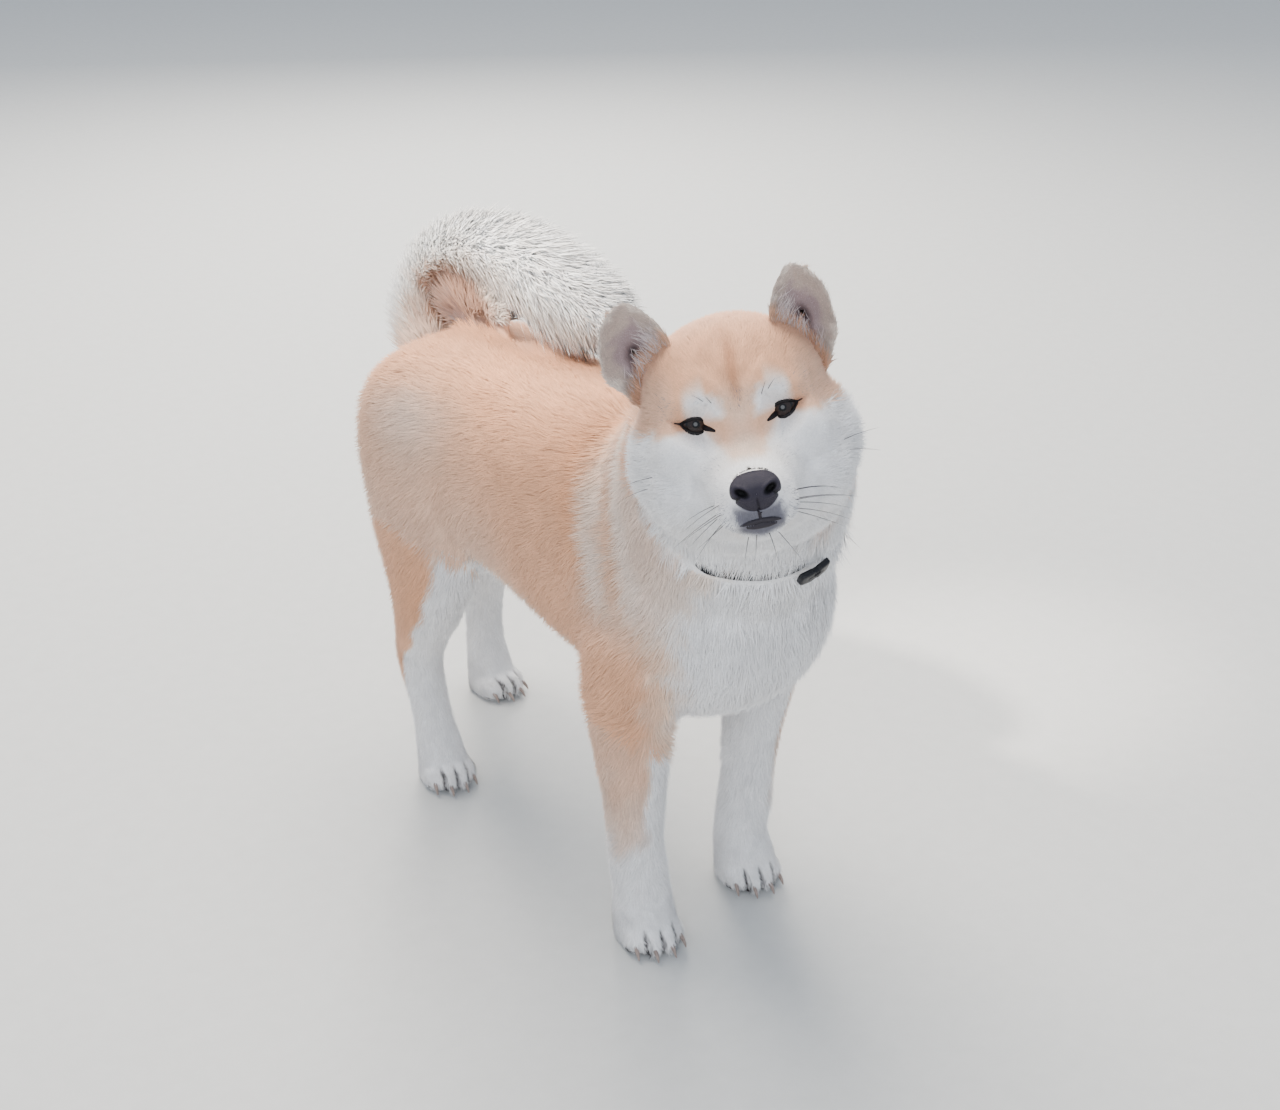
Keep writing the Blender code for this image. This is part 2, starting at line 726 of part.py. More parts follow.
def paw(rows, side, turn):
    """A paw with its claws, which sit in sockets."""
    low = [row for row in rows if row[0] < 0.07]
    sole = next(row for row in rows if row[0] == 0.006)
    centre = Vector((side * sole[1], sole[2], 0))
    pose = Matrix.Translation(centre) @ Matrix.Rotation(turn, 4, "Z")
    forms = [leg_form(low, side)]
    claws = []
    shrink = sole[3] / 0.0262
    for share, forward, radii in TOES:
        across = share * TOE_SPREAD * shrink
        middle = Vector((across, -forward, TOE_HEIGHT))
        forms.append(ellipsoid("toe", middle, radii, pose, 14, 9))
        claws.append([middle + Vector((share * place * 0.12, -place, drop)) for place, drop in CLAW_LINE])
    foot = blend("paw", forms, PAW_VOXEL, 3, PAW_FACES)
    slice_off(foot, Vector((0, 0, PAW_CUT - GAP / 2)), Vector((0, 0, 1)))
    slice_off(foot, Vector((0, 0, 0)), Vector((0, 0, -1)))
    keep_largest(foot)
    made = []
    for line in claws:
        path = [pose @ point for point in line]
        combine(foot, [tube("socket", path, [radius + GAP for radius in CLAW_RADII], 6)], "DIFFERENCE")
        made.append(tube("claw", path, CLAW_RADII, 6))
    return foot, made


def eye_frame(side):
    """Where an eye sits, turned so that X runs to the outer corner and the lids open along -Y."""
    centre = Vector((EYE_AT.x * side, EYE_AT.y, EYE_AT.z))
    turn = Matrix.Rotation(-side * LID_TILT, 4, "Y")
    return HEAD_POSE @ Matrix.Translation(centre) @ turn


def lid_opening(side):
    """A cutter in the shape of the opened lids, in front of the eye."""
    half_wide, half_high = LID_OPENING
    frame = eye_frame(side)
    outline = []
    for step in range(16):
        angle = 2 * math.pi * step / 16
        up = math.sin(angle)
        rise = half_high if up > 0 else half_high * 0.82
        pinch = 1 - 0.30 * abs(math.cos(angle)) ** 3
        outline.append((math.cos(angle) * half_wide, up * rise * pinch))
    rings = []
    for place, growth in ((0.0, 0.80), (-EYE_RADIUS, 1.0), (-EYE_RADIUS * 2.4, 1.35)):
        rings.append([frame @ Vector((across * growth, place, up * growth)) for across, up in outline])
    return loft("opening", rings)


def add_eyes(head):
    """Lids over round eyes, which are pieces of their own in sockets."""
    eyes = {}
    for side, word in ((-1, "right"), (1, "left")):
        frame = eye_frame(side)
        radius = EYE_RADIUS + GAP
        cover = radius + LID_THICK
        combine(head, [ellipsoid("lid", (0, 0, 0), (cover,) * 3, frame, 18, 11)], "UNION", FINE)
        combine(head, [ellipsoid("socket", (0, 0, 0), (radius,) * 3, frame, 14, 9)], "DIFFERENCE", FINE)
        combine(head, [lid_opening(side)], "DIFFERENCE", FINE)
        eyes[word] = ellipsoid("eye", (0, 0, 0), (EYE_RADIUS,) * 3, frame, 14, 9)
    return eyes


def surface_of(obj):
    shell = bmesh.new()
    shell.from_mesh(obj.data)
    tree = BVHTree.FromBMesh(shell)
    shell.free()
    return tree


def on_surface(tree, guesses, depth):
    """The points of a surface nearest to guesses in the head's frame, sunk by a depth."""
    found = []
    for guess in guesses:
        place, normal, _, _ = tree.find_nearest(HEAD_POSE @ Vector(guess))
        found.append(place - normal * depth)
    return found


def add_mouth(head):
    """Lips on each side of a cut that runs from the middle back to the corners."""
    guesses = [(-across, place, height) for across, place, height in reversed(MOUTH_LINE[1:])] + MOUTH_LINE
    guesses = [tuple(row) for row in curve_through(guesses, 2)]
    tree = surface_of(head)
    count = len(guesses)
    taper = [0.35 + 0.65 * math.sin(math.pi * (index + 0.5) / count) ** 0.5 for index in range(count)]
    lips = tube("lips", on_surface(tree, guesses, 0.0012), [LIP_RADIUS * share for share in taper], 8)
    combine(head, [lips], "UNION", FINE)
    line = tube("line", on_surface(tree, guesses, -0.0004), [MOUTH_CUT * share for share in taper], 6)
    combine(head, [line], "DIFFERENCE", FINE)
    groove = tube("groove", on_surface(tree, LIP_GROOVE, 0.0), [0.0008] * len(LIP_GROOVE), 6)
    combine(head, [groove], "DIFFERENCE", FINE)


def nose_form(swell):
    rings = []
    for place, wide, high, drop in curve_through(NOSE_RINGS, 1):
        rings.append([
            HEAD_POSE @ (NOSE_AT + Vector((
                across * (wide + swell), place + math.copysign(swell, place), drop + up * (high + swell)
            )))
            for across, up in round_ring(16, 2.35)
        ])
    return loft("nose", rings)


def add_nose(head):
    """The nose leather, set in a pocket of the muzzle, with its nostrils cut in."""
    combine(head, [nose_form(GAP)], "DIFFERENCE", FINE)
    keep_largest(head)
    nose = nose_form(0.0)
    for side in (-1, 1):
        for centre, radii, angles in NOSTRILS:
            centre = (centre[0] * side, centre[1], centre[2])
            angles = (angles[0], angles[1] * side, angles[2] * side)
            pose = HEAD_POSE @ Matrix.Translation(NOSE_AT) @ turned(centre, angles)
            combine(nose, [ellipsoid("nostril", centre, radii, pose, 10, 6)], "DIFFERENCE", FINE)
    return nose


def ear(word):
    """A thick cup open to the front, rounded at its tip, with its root inside the head."""
    inner, outer, tip = [Vector(point) for point in EAR_CORNERS[word]]
    base = (inner + outer) / 2
    rise = tip - base
    wide = (outer - inner) / 2
    back = wide.cross(rise).normalized()
    if back.y < 0:
        back = -back
    rings = []
    for height, share, bulge, thick in curve_through(EAR_ROWS, 1):
        front_side = []
        back_side = []
        for step in range(EAR_COLUMNS + 1):
            across = -1 + 2 * step / EAR_COLUMNS
            middle = base + rise * height + wide * share * across
            arch = bulge * (1 - across ** 2)
            rim = max(0.25, 1 - across ** 4)
            back_side.append(middle + back * (arch + thick * rim * 0.5))
            front_side.append(middle + back * (arch - thick * rim * 0.5))
        rings.append([HEAD_POSE @ point for point in front_side + back_side[::-1]])
    return loft("ear", rings)


class TailPath:
    """The tail's middle line, with its core's radius and its coat's reach at each length along it."""

    def __init__(self):
        rows = np.array(curve_through([(*centre, core, reach) for centre, core, reach in TAIL], 4))
        steps = np.linalg.norm(np.diff(rows[:, :3], axis=0), axis=1)
        self.lengths = np.concatenate([[0.0], np.cumsum(steps)])
        self.rows = rows
        self.length = float(self.lengths[-1])

    def at(self, length):
        """Centre, direction, radius of the core and reach of the coat at a length along the tail."""
        inside = min(length, self.length)
        row = [float(np.interp(inside, self.lengths, self.rows[:, column])) for column in range(5)]
        ahead = [float(np.interp(inside + 0.002, self.lengths, self.rows[:, axis])) for axis in range(3)]
        behind = [float(np.interp(inside - 0.002, self.lengths, self.rows[:, axis])) for axis in range(3)]
        along = (Vector(ahead) - Vector(behind)).normalized()
        return Vector(row[:3]) + along * (length - inside), along, row[3], row[4]

    def outwards(self, length, angle):
        """The way out from the middle line at an angle about it, and the way round."""
        _, along, _, _ = self.at(length)
        across = (Vector((1, 0, 0)) - along * along.x).normalized()
        up = along.cross(across)
        return across * math.cos(angle) + up * math.sin(angle), up * math.cos(angle) - across * math.sin(angle)


def tail_core(path):
    """The tail under its long hair, at most half way out to the tips."""
    count = 20
    spots = [path.length * index / count for index in range(count + 1)]
    states = [path.at(spot) for spot in spots]
    return tube("tail", [state[0] for state in states], [state[2] for state in states], 10)


def lock_line(path, start, angle, rise):
    """Points of a lock's middle line, from inside the core out to its tip, with the way round at each."""
    _, _, core, reach = path.at(start)
    sweep = (reach - core) * LOCK_SWEEP
    line = []
    for step in LOCK_STEPS:
        spot = start + sweep * step ** 1.25
        centre, _, _, _ = path.at(spot)
        out, around = path.outwards(spot, angle)
        radius = core * 0.5 + (reach * rise - core * 0.5) * step ** 0.85
        line.append((centre + out * radius, around))
    return line


def lock(path, start, angle, rise, size):
    """One flat lock of hair that tapers to its tip."""
    line = lock_line(path, start, angle, rise)
    rings = []
    for index, (point, around) in enumerate(line):
        ahead = line[min(index + 1, len(line) - 1)][0] - line[max(index - 1, 0)][0]
        flat = around.cross(ahead.normalized())
        wide = size * LOCK_WIDTHS[index]
        thick = LOCK_THICK * LOCK_DEPTHS[index]
        rings.append([point + around * wide, point + flat * thick, point - around * wide, point - flat * thick])
    return loft("lock", rings)


def tail_locks(path):
    """Rows of overlapping locks down the whole tail, the last of them closed about its tip."""
    locks = []
    row = 0
    spot = LOCK_START
    while spot < path.length:
        _, _, core, reach = path.at(spot)
        size = math.pi * (core + reach) / 2 / LOCKS_AROUND * 1.05
        for number in range(LOCKS_AROUND):
            share = number + 0.5 * (row % 2) + random.uniform(-0.14, 0.14)
            angle = 2 * math.pi * share / LOCKS_AROUND
            start = spot + random.uniform(-0.08, 0.08) * LOCK_SPACING
            locks.append(lock(path, start, angle, random.uniform(1.02, 1.10), size))
        row += 1
        spot += LOCK_SPACING
    return locks


def curl_fill(path):
    """The hair between the arch of the tail and the back, clear of the tail's root and of its locks."""
    fill = ellipsoid("curl", CURL_AT, CURL_SIZE, None, 16, 9)
    states = [path.at(CURL_CLEAR * index / 8) for index in range(9)]
    clear = tube("clear", [state[0] for state in states], [state[3] * 1.16 for state in states], 14)
    combine(fill, [clear], "DIFFERENCE")
    keep_largest(fill)
    return fill


def tail_form(path):
    """The tail's core with its locks and the hair in its curl, as one closed form."""
    core = tail_core(path)
    group = bpy.data.collections.new("locks")
    for piece in tail_locks(path) + [curl_fill(path)]:
        group.objects.link(piece)
        bpy.context.scene.collection.objects.unlink(piece)
    bpy.context.scene.collection.children.link(group)
    step = core.modifiers.new("locks", "BOOLEAN")
    step.operation = "UNION"
    step.solver = "EXACT"
    step.operand_type = "COLLECTION"
    step.collection = group
    apply_modifiers(core)
    remove(*group.objects)
    bpy.data.collections.remove(group)
    keep_largest(core)
    return core


def parting(path, spot):
    """A thin bowl about the tail that follows the lean of the locks, to part it between two rows of them."""
    _, _, core, reach = path.at(spot)
    sweep = (reach - core) * LOCK_SWEEP
    sides = 20
    levels = [0.02, 0.5 * core / reach, 0.75, 1.0, 1.25]
    sheets = []
    for lift in (0.0, GAP * 1.4):
        sheet = []
        for level in levels:
            radius = level * reach
            step = max(0.0, (radius - core * 0.5) / (reach - core * 0.5)) ** (1 / 0.85)
            place = spot + sweep * step ** 1.25 + lift
            centre, _, _, _ = path.at(place)
            sheet.append([
                centre + path.outwards(place, 2 * math.pi * side / sides)[0] * radius for side in range(sides)
            ])
        sheets.append(sheet)
    return loft("parting", sheets[0] + sheets[1][::-1])


def add_ears(head):
    ears = {}
    grown = swollen(head, GAP)
    for word in EAR_CORNERS:
        piece = ear(word)
        combine(piece, [copy_of(grown, "head_copy")], "DIFFERENCE")
        keep_largest(piece)
        ears[word] = piece
    remove(grown)
    return ears


def strap_line(surface):
    """Points of the neck's surface around the strap's plane, with the way outwards at each."""
    line = []
    start = COLLAR_NORMAL.orthogonal().normalized()
    for step in range(STRAP_POINTS):
        turn = Matrix.Rotation(2 * math.pi * step / STRAP_POINTS, 3, COLLAR_NORMAL)
        outwards = turn @ start
        place, _, _, _ = surface.ray_cast(COLLAR_AT + outwards * 0.2, -outwards)
        line.append((place, outwards))
    return line


def strap(line, proud, thick, width):
    """A flat ring about the neck, given how far it stands out, its thickness and its width."""
    points = []
    faces = []
    for place, outwards in line:
        for reach, lift in ((proud - thick, -1), (proud, -1), (proud, 1), (proud - thick, 1)):
            points.append(place + outwards * reach + COLLAR_NORMAL * lift * width / 2)
    count = len(line)
    for step in range(count):
        near = step * 4
        far = (step + 1) % count * 4
        for corner in range(4):
            beside = (corner + 1) % 4
            faces.append((near + corner, far + corner, far + beside, near + beside))
    return make("strap", points, faces)


def smoothed(line):
    """The strap's line evened out, so that it lies on the fur without its dents."""
    count = len(line)
    result = []
    for step, (place, outwards) in enumerate(line):
        near = [(line[(step + shift) % count][0] - COLLAR_AT).length for shift in range(-3, 4)]
        result.append((COLLAR_AT + outwards * (sum(near) / len(near)), outwards))
    return result


def add_collar(neck):
    """The strap, in a groove of the neck, and the buckle on it."""
    line = smoothed(strap_line(surface_of(neck)))
    groove = strap(line, STRAP_PROUD + 0.010, STRAP_THICK + 0.010 + GAP, STRAP_WIDTH + 2 * GAP)
    combine(neck, [groove], "DIFFERENCE")
    keep_largest(neck)
    band = strap(line, STRAP_PROUD, STRAP_THICK, STRAP_WIDTH)
    nearest = min(line, key=lambda entry: (entry[0] - Vector(BUCKLE_AT)).length)[0]
    outwards = Vector(BUCKLE_AT) - COLLAR_AT
    outwards = (outwards - COLLAR_NORMAL * outwards.dot(COLLAR_NORMAL)).normalized()
    place = COLLAR_AT + outwards * (nearest - COLLAR_AT).length
    along = COLLAR_NORMAL.cross(outwards).normalized()
    pose = Matrix((along, outwards, COLLAR_NORMAL)).transposed().to_4x4()
    pose.translation = place + outwards * (STRAP_PROUD + BUCKLE_SIZE[1] / 2)
    clasp = buckle(pose, 0.0)
    hollow = strap(line, STRAP_PROUD + GAP, STRAP_THICK + 2 * GAP, STRAP_WIDTH + 2 * GAP)
    combine(clasp, [hollow], "DIFFERENCE")
    keep_largest(clasp)
    combine(neck, [buckle(pose, GAP)], "DIFFERENCE")
    keep_largest(neck)
    return band, clasp


def buckle(pose, growth):
    """A small side-release buckle, bowed along the strap, with a waist between its halves."""
    wide, thick, high = [size + 2 * growth for size in BUCKLE_SIZE]
    rings = []
    for share, height in BUCKLE_ROWS:
        bow = -0.0016 * share ** 2
        rings.append([
            pose @ Vector((share * wide / 2, bow + deep * thick / 2, up * high / 2 * height))
            for deep, up in round_ring(12, 5.0)
        ])
    return loft("buckle", rings)


def add_tail(torso):
    """The tail, fitted to the rump and parted into three lengths."""
    path = TailPath()
    tail = tail_form(path)
    combine(tail, [swollen(torso, GAP)], "DIFFERENCE")
    keep_largest(tail)
    combine(tail, [parting(path, spot) for spot in TAIL_PARTINGS], "DIFFERENCE")
    pieces = separated(tail)
    pieces.sort(key=lambda entry: len(entry[0].data.vertices), reverse=True)
    kept = sorted(pieces[:3], key=lambda entry: entry[1].y, reverse=True)
    remove(*[piece for piece, _ in pieces[3:]])
    return [piece for piece, _ in kept]


def centre_on_floor(nodes):
    """Moves the whole model so that its box stands on the floor about the origin."""
    points = [point.co for node in nodes for point in node.data.vertices]
    low = [min(point[axis] for point in points) for axis in range(3)]
    high = [max(point[axis] for point in points) for axis in range(3)]
    shift = Matrix.Translation((-(low[0] + high[0]) / 2, -(low[1] + high[1]) / 2, -low[2]))
    for node in nodes:
        node.data.transform(shift)


def build():
    clear_scene()
    random.seed(SEED)
    nodes = []
    whole = flesh()
    head = head_from(whole)
    eyes = add_eyes(head)
    add_mouth(head)
    nose = add_nose(head)
    ears = add_ears(head)
    nodes.append(paint(head, "head", CREAM))
    nodes.append(paint(nose, "nose", BLACK, 0.35))
    for word in ("right", "left"):
        nodes.append(paint(eyes[word], "eye_" + word, BROWN, 0.1))
        nodes.append(paint(ears[word], "ear_" + word, RED))
    named = name_body(body_from(whole))
    tail_pieces = add_tail(named["torso"])
    band, clasp = add_collar(named["neck"])
    nodes.append(paint(band, "collar_strap", BLACK, 0.7))
    nodes.append(paint(clasp, "collar_buckle", BLACK, 0.4))
    for name, piece in named.items():
        nodes.append(paint(piece, name, WHITE if name.startswith("shank") else RED))
    for name, piece in zip(TAIL_NAMES, tail_pieces):
        nodes.append(paint(piece, name, CREAM))
    for word, side in (("right", -1), ("left", 1)):
        for limb, rows in (("fore", FORELEG), ("hind", HINDLEG)):
            foot, claws = paw(rows[word], side, PAW_TURN[limb + "_" + word])
            nodes.append(paint(foot, f"{limb}paw_{word}", WHITE))
            for number, claw in enumerate(claws, 1):
                nodes.append(paint(claw, f"{limb}claw_{word}_{number}", HORN, 0.4))
    centre_on_floor(nodes)


build()
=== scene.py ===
"""The looks of a standing shiba inu at life size.

One skin replaces the solids of the flesh and lies inside them by the depth of the coat. Small tapered tufts
grow on it along the lie of the hair and fill the space out to the solids' outline. Skin and tufts share one
function of the markings. Eyes, lids, nose, lips, ears, whiskers, claws, pads, strap and buckle are pieces of
their own.

The sizes of the body are in a frame with the same axes as the loaded model, and SHIFT moves them into it.
Those of the face are in the head's frame: origin between the eyes, nose towards -Y, left side towards +X.
"""

import math

import bmesh
import bpy
import numpy as np
from mathutils import Matrix, Vector
from mathutils.bvhtree import BVHTree


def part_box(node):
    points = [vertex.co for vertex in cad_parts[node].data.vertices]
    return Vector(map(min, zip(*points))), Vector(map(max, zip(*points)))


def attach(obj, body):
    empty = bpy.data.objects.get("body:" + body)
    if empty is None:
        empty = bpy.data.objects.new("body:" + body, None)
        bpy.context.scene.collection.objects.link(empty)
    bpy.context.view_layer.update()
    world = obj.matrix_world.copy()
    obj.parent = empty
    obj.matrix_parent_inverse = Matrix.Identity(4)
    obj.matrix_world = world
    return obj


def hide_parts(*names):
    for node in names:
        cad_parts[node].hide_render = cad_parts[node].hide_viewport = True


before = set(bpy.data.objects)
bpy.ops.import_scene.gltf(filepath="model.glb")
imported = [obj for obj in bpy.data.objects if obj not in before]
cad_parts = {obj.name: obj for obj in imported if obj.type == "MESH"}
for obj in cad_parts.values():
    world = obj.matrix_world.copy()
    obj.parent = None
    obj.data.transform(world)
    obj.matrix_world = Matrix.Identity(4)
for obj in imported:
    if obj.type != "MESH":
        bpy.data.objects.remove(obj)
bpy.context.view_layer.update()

SEED = 5
DRAW = np.random.default_rng(SEED)

# Camera, in the body's frame
CAMERA_AZIMUTH = math.radians(-37.5)
CAMERA_ELEVATION = math.radians(26.1)
CAMERA_ROLL = math.radians(0.3)
CAMERA_DISTANCE = 1.61
CAMERA_TARGET = Vector((0.098, 0.053, 0.200))
FOCAL_PIXELS = 1875.0
PHOTO_WIDTH = 1280.0
SENSOR_WIDTH = 36.0

# Head's pose
HEAD_AT = Vector((-0.0616, -0.2577, 0.4650))
HEAD_YAW = math.radians(-37.5)
HEAD_RAISED = math.radians(12.0)
HEAD_ROLL = math.radians(-11.6)
EYE_AT = Vector((0.0282, 0.0072, 0.0004))
EYE_RADIUS = 0.0108
LID_TILT = math.radians(17.5)
LID_OUTER = 0.0083
LID_INNER = 0.0083
LID_UP = 0.0036
LID_DOWN = 0.0026
LID_BANK = 1.25
# Rows of the lids outwards from the opening: offset, height over the eyeball of the upper and the lower lid
LID_ROWS = [
    (-0.0002, -0.0012, -0.0012),
    (-0.0001, 0.0002, 0.0002),
    (0.0002, 0.0011, 0.0008),
    (0.0006, 0.0016, 0.0011),
    (0.0010, 0.0016, 0.0011),
    (0.0014, 0.0012, 0.0008),
    (0.0020, None, None),
    (0.0032, None, None),
]
LID_CORNER = 0.6
LID_COLUMNS = 96
EYE_SPREAD = 0.0088
EYE_AREA = 0.030
EYE_GAP = 0.0020
GAZE_UP = math.radians(9.0)
STREAK_START = 0.0070
STREAK_STEPS = 9
# Where the raised crease starts in the rim of the lids: at the outer and at the inner corner
CREASE_STARTS = (0.0084, -0.0064)
CREASE_ENDS = (0.0080, -0.0085)
# Ray from in front of an eye down to the skin: start, length
EYE_RAY = (0.035, 0.06)
STREAK_OUTER = (0.0058, 0.0015)
STREAK_INNER = (0.0038, 0.0026)
IRIS_RADIUS = 0.0060
PUPIL_RADIUS = 0.0024
NOSE_AT = Vector((0.0, -0.0715, -0.0320))
NOSE_WIDTH = 0.0315
NOSE_HEIGHT = 0.0250
NOSE_DEPTH = 0.0108
NOSE_POWER = 2.4
MOUTH_LINE = [
    (0.000, -0.073, -0.0530),
    (0.009, -0.070, -0.0532),
    (0.017, -0.059, -0.0515),
    (0.023, -0.046, -0.0490),
    (0.028, -0.032, -0.0470),
]

# Lips and the groove above them: distance from the middle, radius
UPPER_LIP = [(0.0, 0.0015), (0.006, 0.0016), (0.010, 0.0012), (0.0128, 0.0003)]
LOWER_LIP = [(0.0, 0.0030), (0.005, 0.0026), (0.0095, 0.0008)]
BARE_LIP = [(0.0, 0.0030), (0.012, 0.0026), (0.016, 0.0008), (0.028, 0.0)]
GROOVE = [(0, -0.078, -0.043), (0, -0.076, -0.047), (0, -0.075, -0.050), (0, -0.074, -0.053)]
GROOVE_RADII = [0.0018, 0.0009, 0.0009, 0.0012]

# Ears, in the head's frame: inner and outer end of the root, and tip
EAR_CORNERS = {
    "right": ((-0.033, 0.038, 0.047), (-0.075, 0.046, 0.008), (-0.0700, 0.027, 0.0775)),
    "left": ((0.030, 0.038, 0.048), (0.071, 0.046, 0.012), (0.0590, 0.024, 0.0825)),
}
# Rows of an ear from root to tip: height, share of the width, bulge backwards, thickness
EAR_ROWS = [
    (-0.30, 0.80, 0.016, 0.0100),
    (0.00, 1.00, 0.018, 0.0080),
    (0.25, 1.03, 0.016, 0.0064),
    (0.50, 0.94, 0.012, 0.0056),
    (0.75, 0.745, 0.007, 0.0050),
    (0.85, 0.660, 0.004, 0.0046),
    (0.92, 0.540, 0.002, 0.0044),
    (0.965, 0.385, 0.001, 0.0040),
    (0.99, 0.220, 0.001, 0.0036),
    (1.00, 0.060, 0.001, 0.0032),
]
EAR_COLUMNS = 28
EAR_LIFT = {"right": 0.42, "left": 0.26}
EAR_INSET = 0.0016

# Collar: a point inside the neck, the normal of the strap's plane, and its sizes
COLLAR_AT = Vector((-0.004, -0.170, 0.392))
COLLAR_NORMAL = Vector((-0.12, -0.54, 0.83)).normalized()
STRAP_WIDTH = 0.0100
STRAP_THICK = 0.0018
BUCKLE_SIZE = (0.026, 0.0050, 0.0140)
BUCKLE_TURN = math.radians(5.0)
BUCKLE_SPIN = math.radians(8.0)
STRAP_TURN = math.radians(-17.0)
STRAP_SHOWS = (0.84, 0.94)
STRAP_LEAN = 0.60
STRAP_SUNK = 0.0045
STRAP_RISES = 0.0047
STRAP_COLUMNS = 240
STRAP_SIDES = 20
NECK_REACH = 0.15
# Hair about the strap: places across it that are bare, how far above it hair is cut back, and how near to the
# open front that starts
STRAP_BARE = (-0.0054, 0.0004)
STRAP_HAIR = 0.030
STRAP_OPEN = 0.30
# Outline of the buckle along the strap: place between its ends, share of its height
BUCKLE_EDGE = [
    (-1.0, 0.70), (-0.94, 0.88), (-0.25, 1.0), (-0.12, 0.80),
    (0.12, 0.80), (0.25, 1.0), (0.92, 0.94), (1.0, 0.72),
]

# Whiskers in the head's frame: root, direction, length; mirrored by the sign of the side
WHISKERS = [
    ((0.022, -0.056, -0.040), (0.90, 0.05, 0.08), 0.036),
    ((0.020, -0.060, -0.045), (0.92, -0.05, -0.06), 0.038),
    ((0.024, -0.052, -0.046), (0.90, 0.18, -0.02), 0.040),
    ((0.021, -0.058, -0.050), (0.88, 0.02, -0.22), 0.034),
    ((0.026, -0.047, -0.050), (0.86, 0.25, -0.16), 0.042),
    ((0.023, -0.053, -0.054), (0.84, 0.12, -0.36), 0.030),
    ((0.028, -0.042, -0.043), (0.90, 0.30, 0.06), 0.036),
    ((0.054, 0.012, -0.030), (0.80, -0.20, 0.10), 0.030),
    ((0.058, 0.014, -0.036), (0.84, -0.16, -0.05), 0.026),
    ((0.016, -0.018, 0.0155), (0.28, -0.50, 0.62), 0.013),
    ((0.021, -0.016, 0.0170), (0.45, -0.45, 0.60), 0.014),
    ((0.006, -0.066, -0.066), (0.25, -0.45, -0.80), 0.018),
    ((0.013, -0.058, -0.068), (0.45, -0.30, -0.78), 0.020),
]

# Nodes by what they are
SIDES = {"right": -1, "left": 1}
PAWS = ["forepaw_right", "forepaw_left", "hindpaw_right", "hindpaw_left"]
FLESH = ["torso", "neck", "head", "foreleg_right", "foreleg_left", "thigh_right", "thigh_left",
         "shank_right", "shank_left"] + PAWS
TAIL_NODES = ["tail_root", "tail_arch", "tail_tip"]
FILLED = ["eye_right", "eye_left", "nose"]

# Colours as the eye sees them
APRICOT = (0.900, 0.672, 0.522)
ORANGE = (0.845, 0.590, 0.420)
# Painted shade in the forehead's furrow
FURROW_SHADE = (0.760, 0.540, 0.400)
PALE = (0.885, 0.795, 0.735)
CREAM = (0.930, 0.865, 0.805)
WHITE = (0.945, 0.935, 0.928)
TAIL_WHITE = (0.990, 0.975, 0.955)
# Painted shade about the hollow of the tail's curl, and deeper painted shade at its edge
HOLLOW_SHADE = (0.660, 0.480, 0.380)
BROWN_SHADE = (0.420, 0.290, 0.240)
EAR_INSIDE = (0.670, 0.585, 0.585)
EAR_BEIGE = (0.780, 0.705, 0.655)
# Painted shade in the slits between the toes
TOE_SLIT_SHADE = (0.130, 0.110, 0.110)
# Painted shade in the ear's canal, and along a crease near its root
EAR_CANAL_SHADE = (0.260, 0.200, 0.210)
EAR_CREASE_SHADE = (0.360, 0.290, 0.290)
EAR_FOLD = (0.800, 0.740, 0.730)
EAR_HAIR = (0.840, 0.780, 0.770)
SPECKLE = (0.420, 0.410, 0.470)
PIGMENT = (0.320, 0.315, 0.355)
EYE_LINE = (0.200, 0.150, 0.160)
LID_DARK = (0.085, 0.075, 0.080)
LID_PALE = (0.620, 0.550, 0.520)
STREAK_DARK = (0.085, 0.070, 0.078)
IRIS = (0.125, 0.095, 0.088)
IRIS_STREAK = (0.215, 0.165, 0.145)
IRIS_RIM = (0.045, 0.035, 0.030)
PUPIL = (0.030, 0.025, 0.025)
EYE_WHITE = (0.200, 0.160, 0.150)
LEATHER = (0.185, 0.170, 0.205)
# Painted shade in the hollows of the nostrils, and less of it in the slits and the groove
NOSTRIL_SHADE = (0.015, 0.014, 0.016)
LIPS = (0.170, 0.155, 0.175)
WHISKER = (0.200, 0.190, 0.200)
HORN = (0.520, 0.460, 0.430)
PAD = (0.160, 0.140, 0.140)
WEBBING = (0.105, 0.105, 0.120)
CLASP = (0.110, 0.112, 0.125)
FLOOR_TONES = ((0.72, 0.72, 0.71), (0.76, 0.76, 0.75))

# Markings, in the body's frame
# White of the chest: height, half angle from straight ahead about the chest's axis, in degrees
CHEST_WHITE = [(0.19, 36.0), (0.233, 38.0), (0.286, 40.0), (0.329, 31.0), (0.356, 24.0), (0.40, 20.0)]
CHEST_AXIS = (0.012, -0.110)
# White of the hind leg: height, angle out from straight ahead where it ends
HIND_WHITE = [
    (0.05, 178.0), (0.08, 120.0), (0.11, 82.0), (0.14, 62.0), (0.172, 46.0), (0.209, 33.0), (0.25, 24.0)
]
# Angle at which a foreleg's red starts outside
FORE_RED = {"right": 12.0, "left": 26.0}
# Streaks over the shoulder: colour, place along the trunk, width, strength
SHOULDER_STREAKS = [
    (ORANGE, -0.074, 0.0085, 0.62),
    (ORANGE, -0.116, 0.0085, 0.55),
    (CREAM, -0.095, 0.0090, 0.50),
    (CREAM, -0.137, 0.0090, 0.55),
]
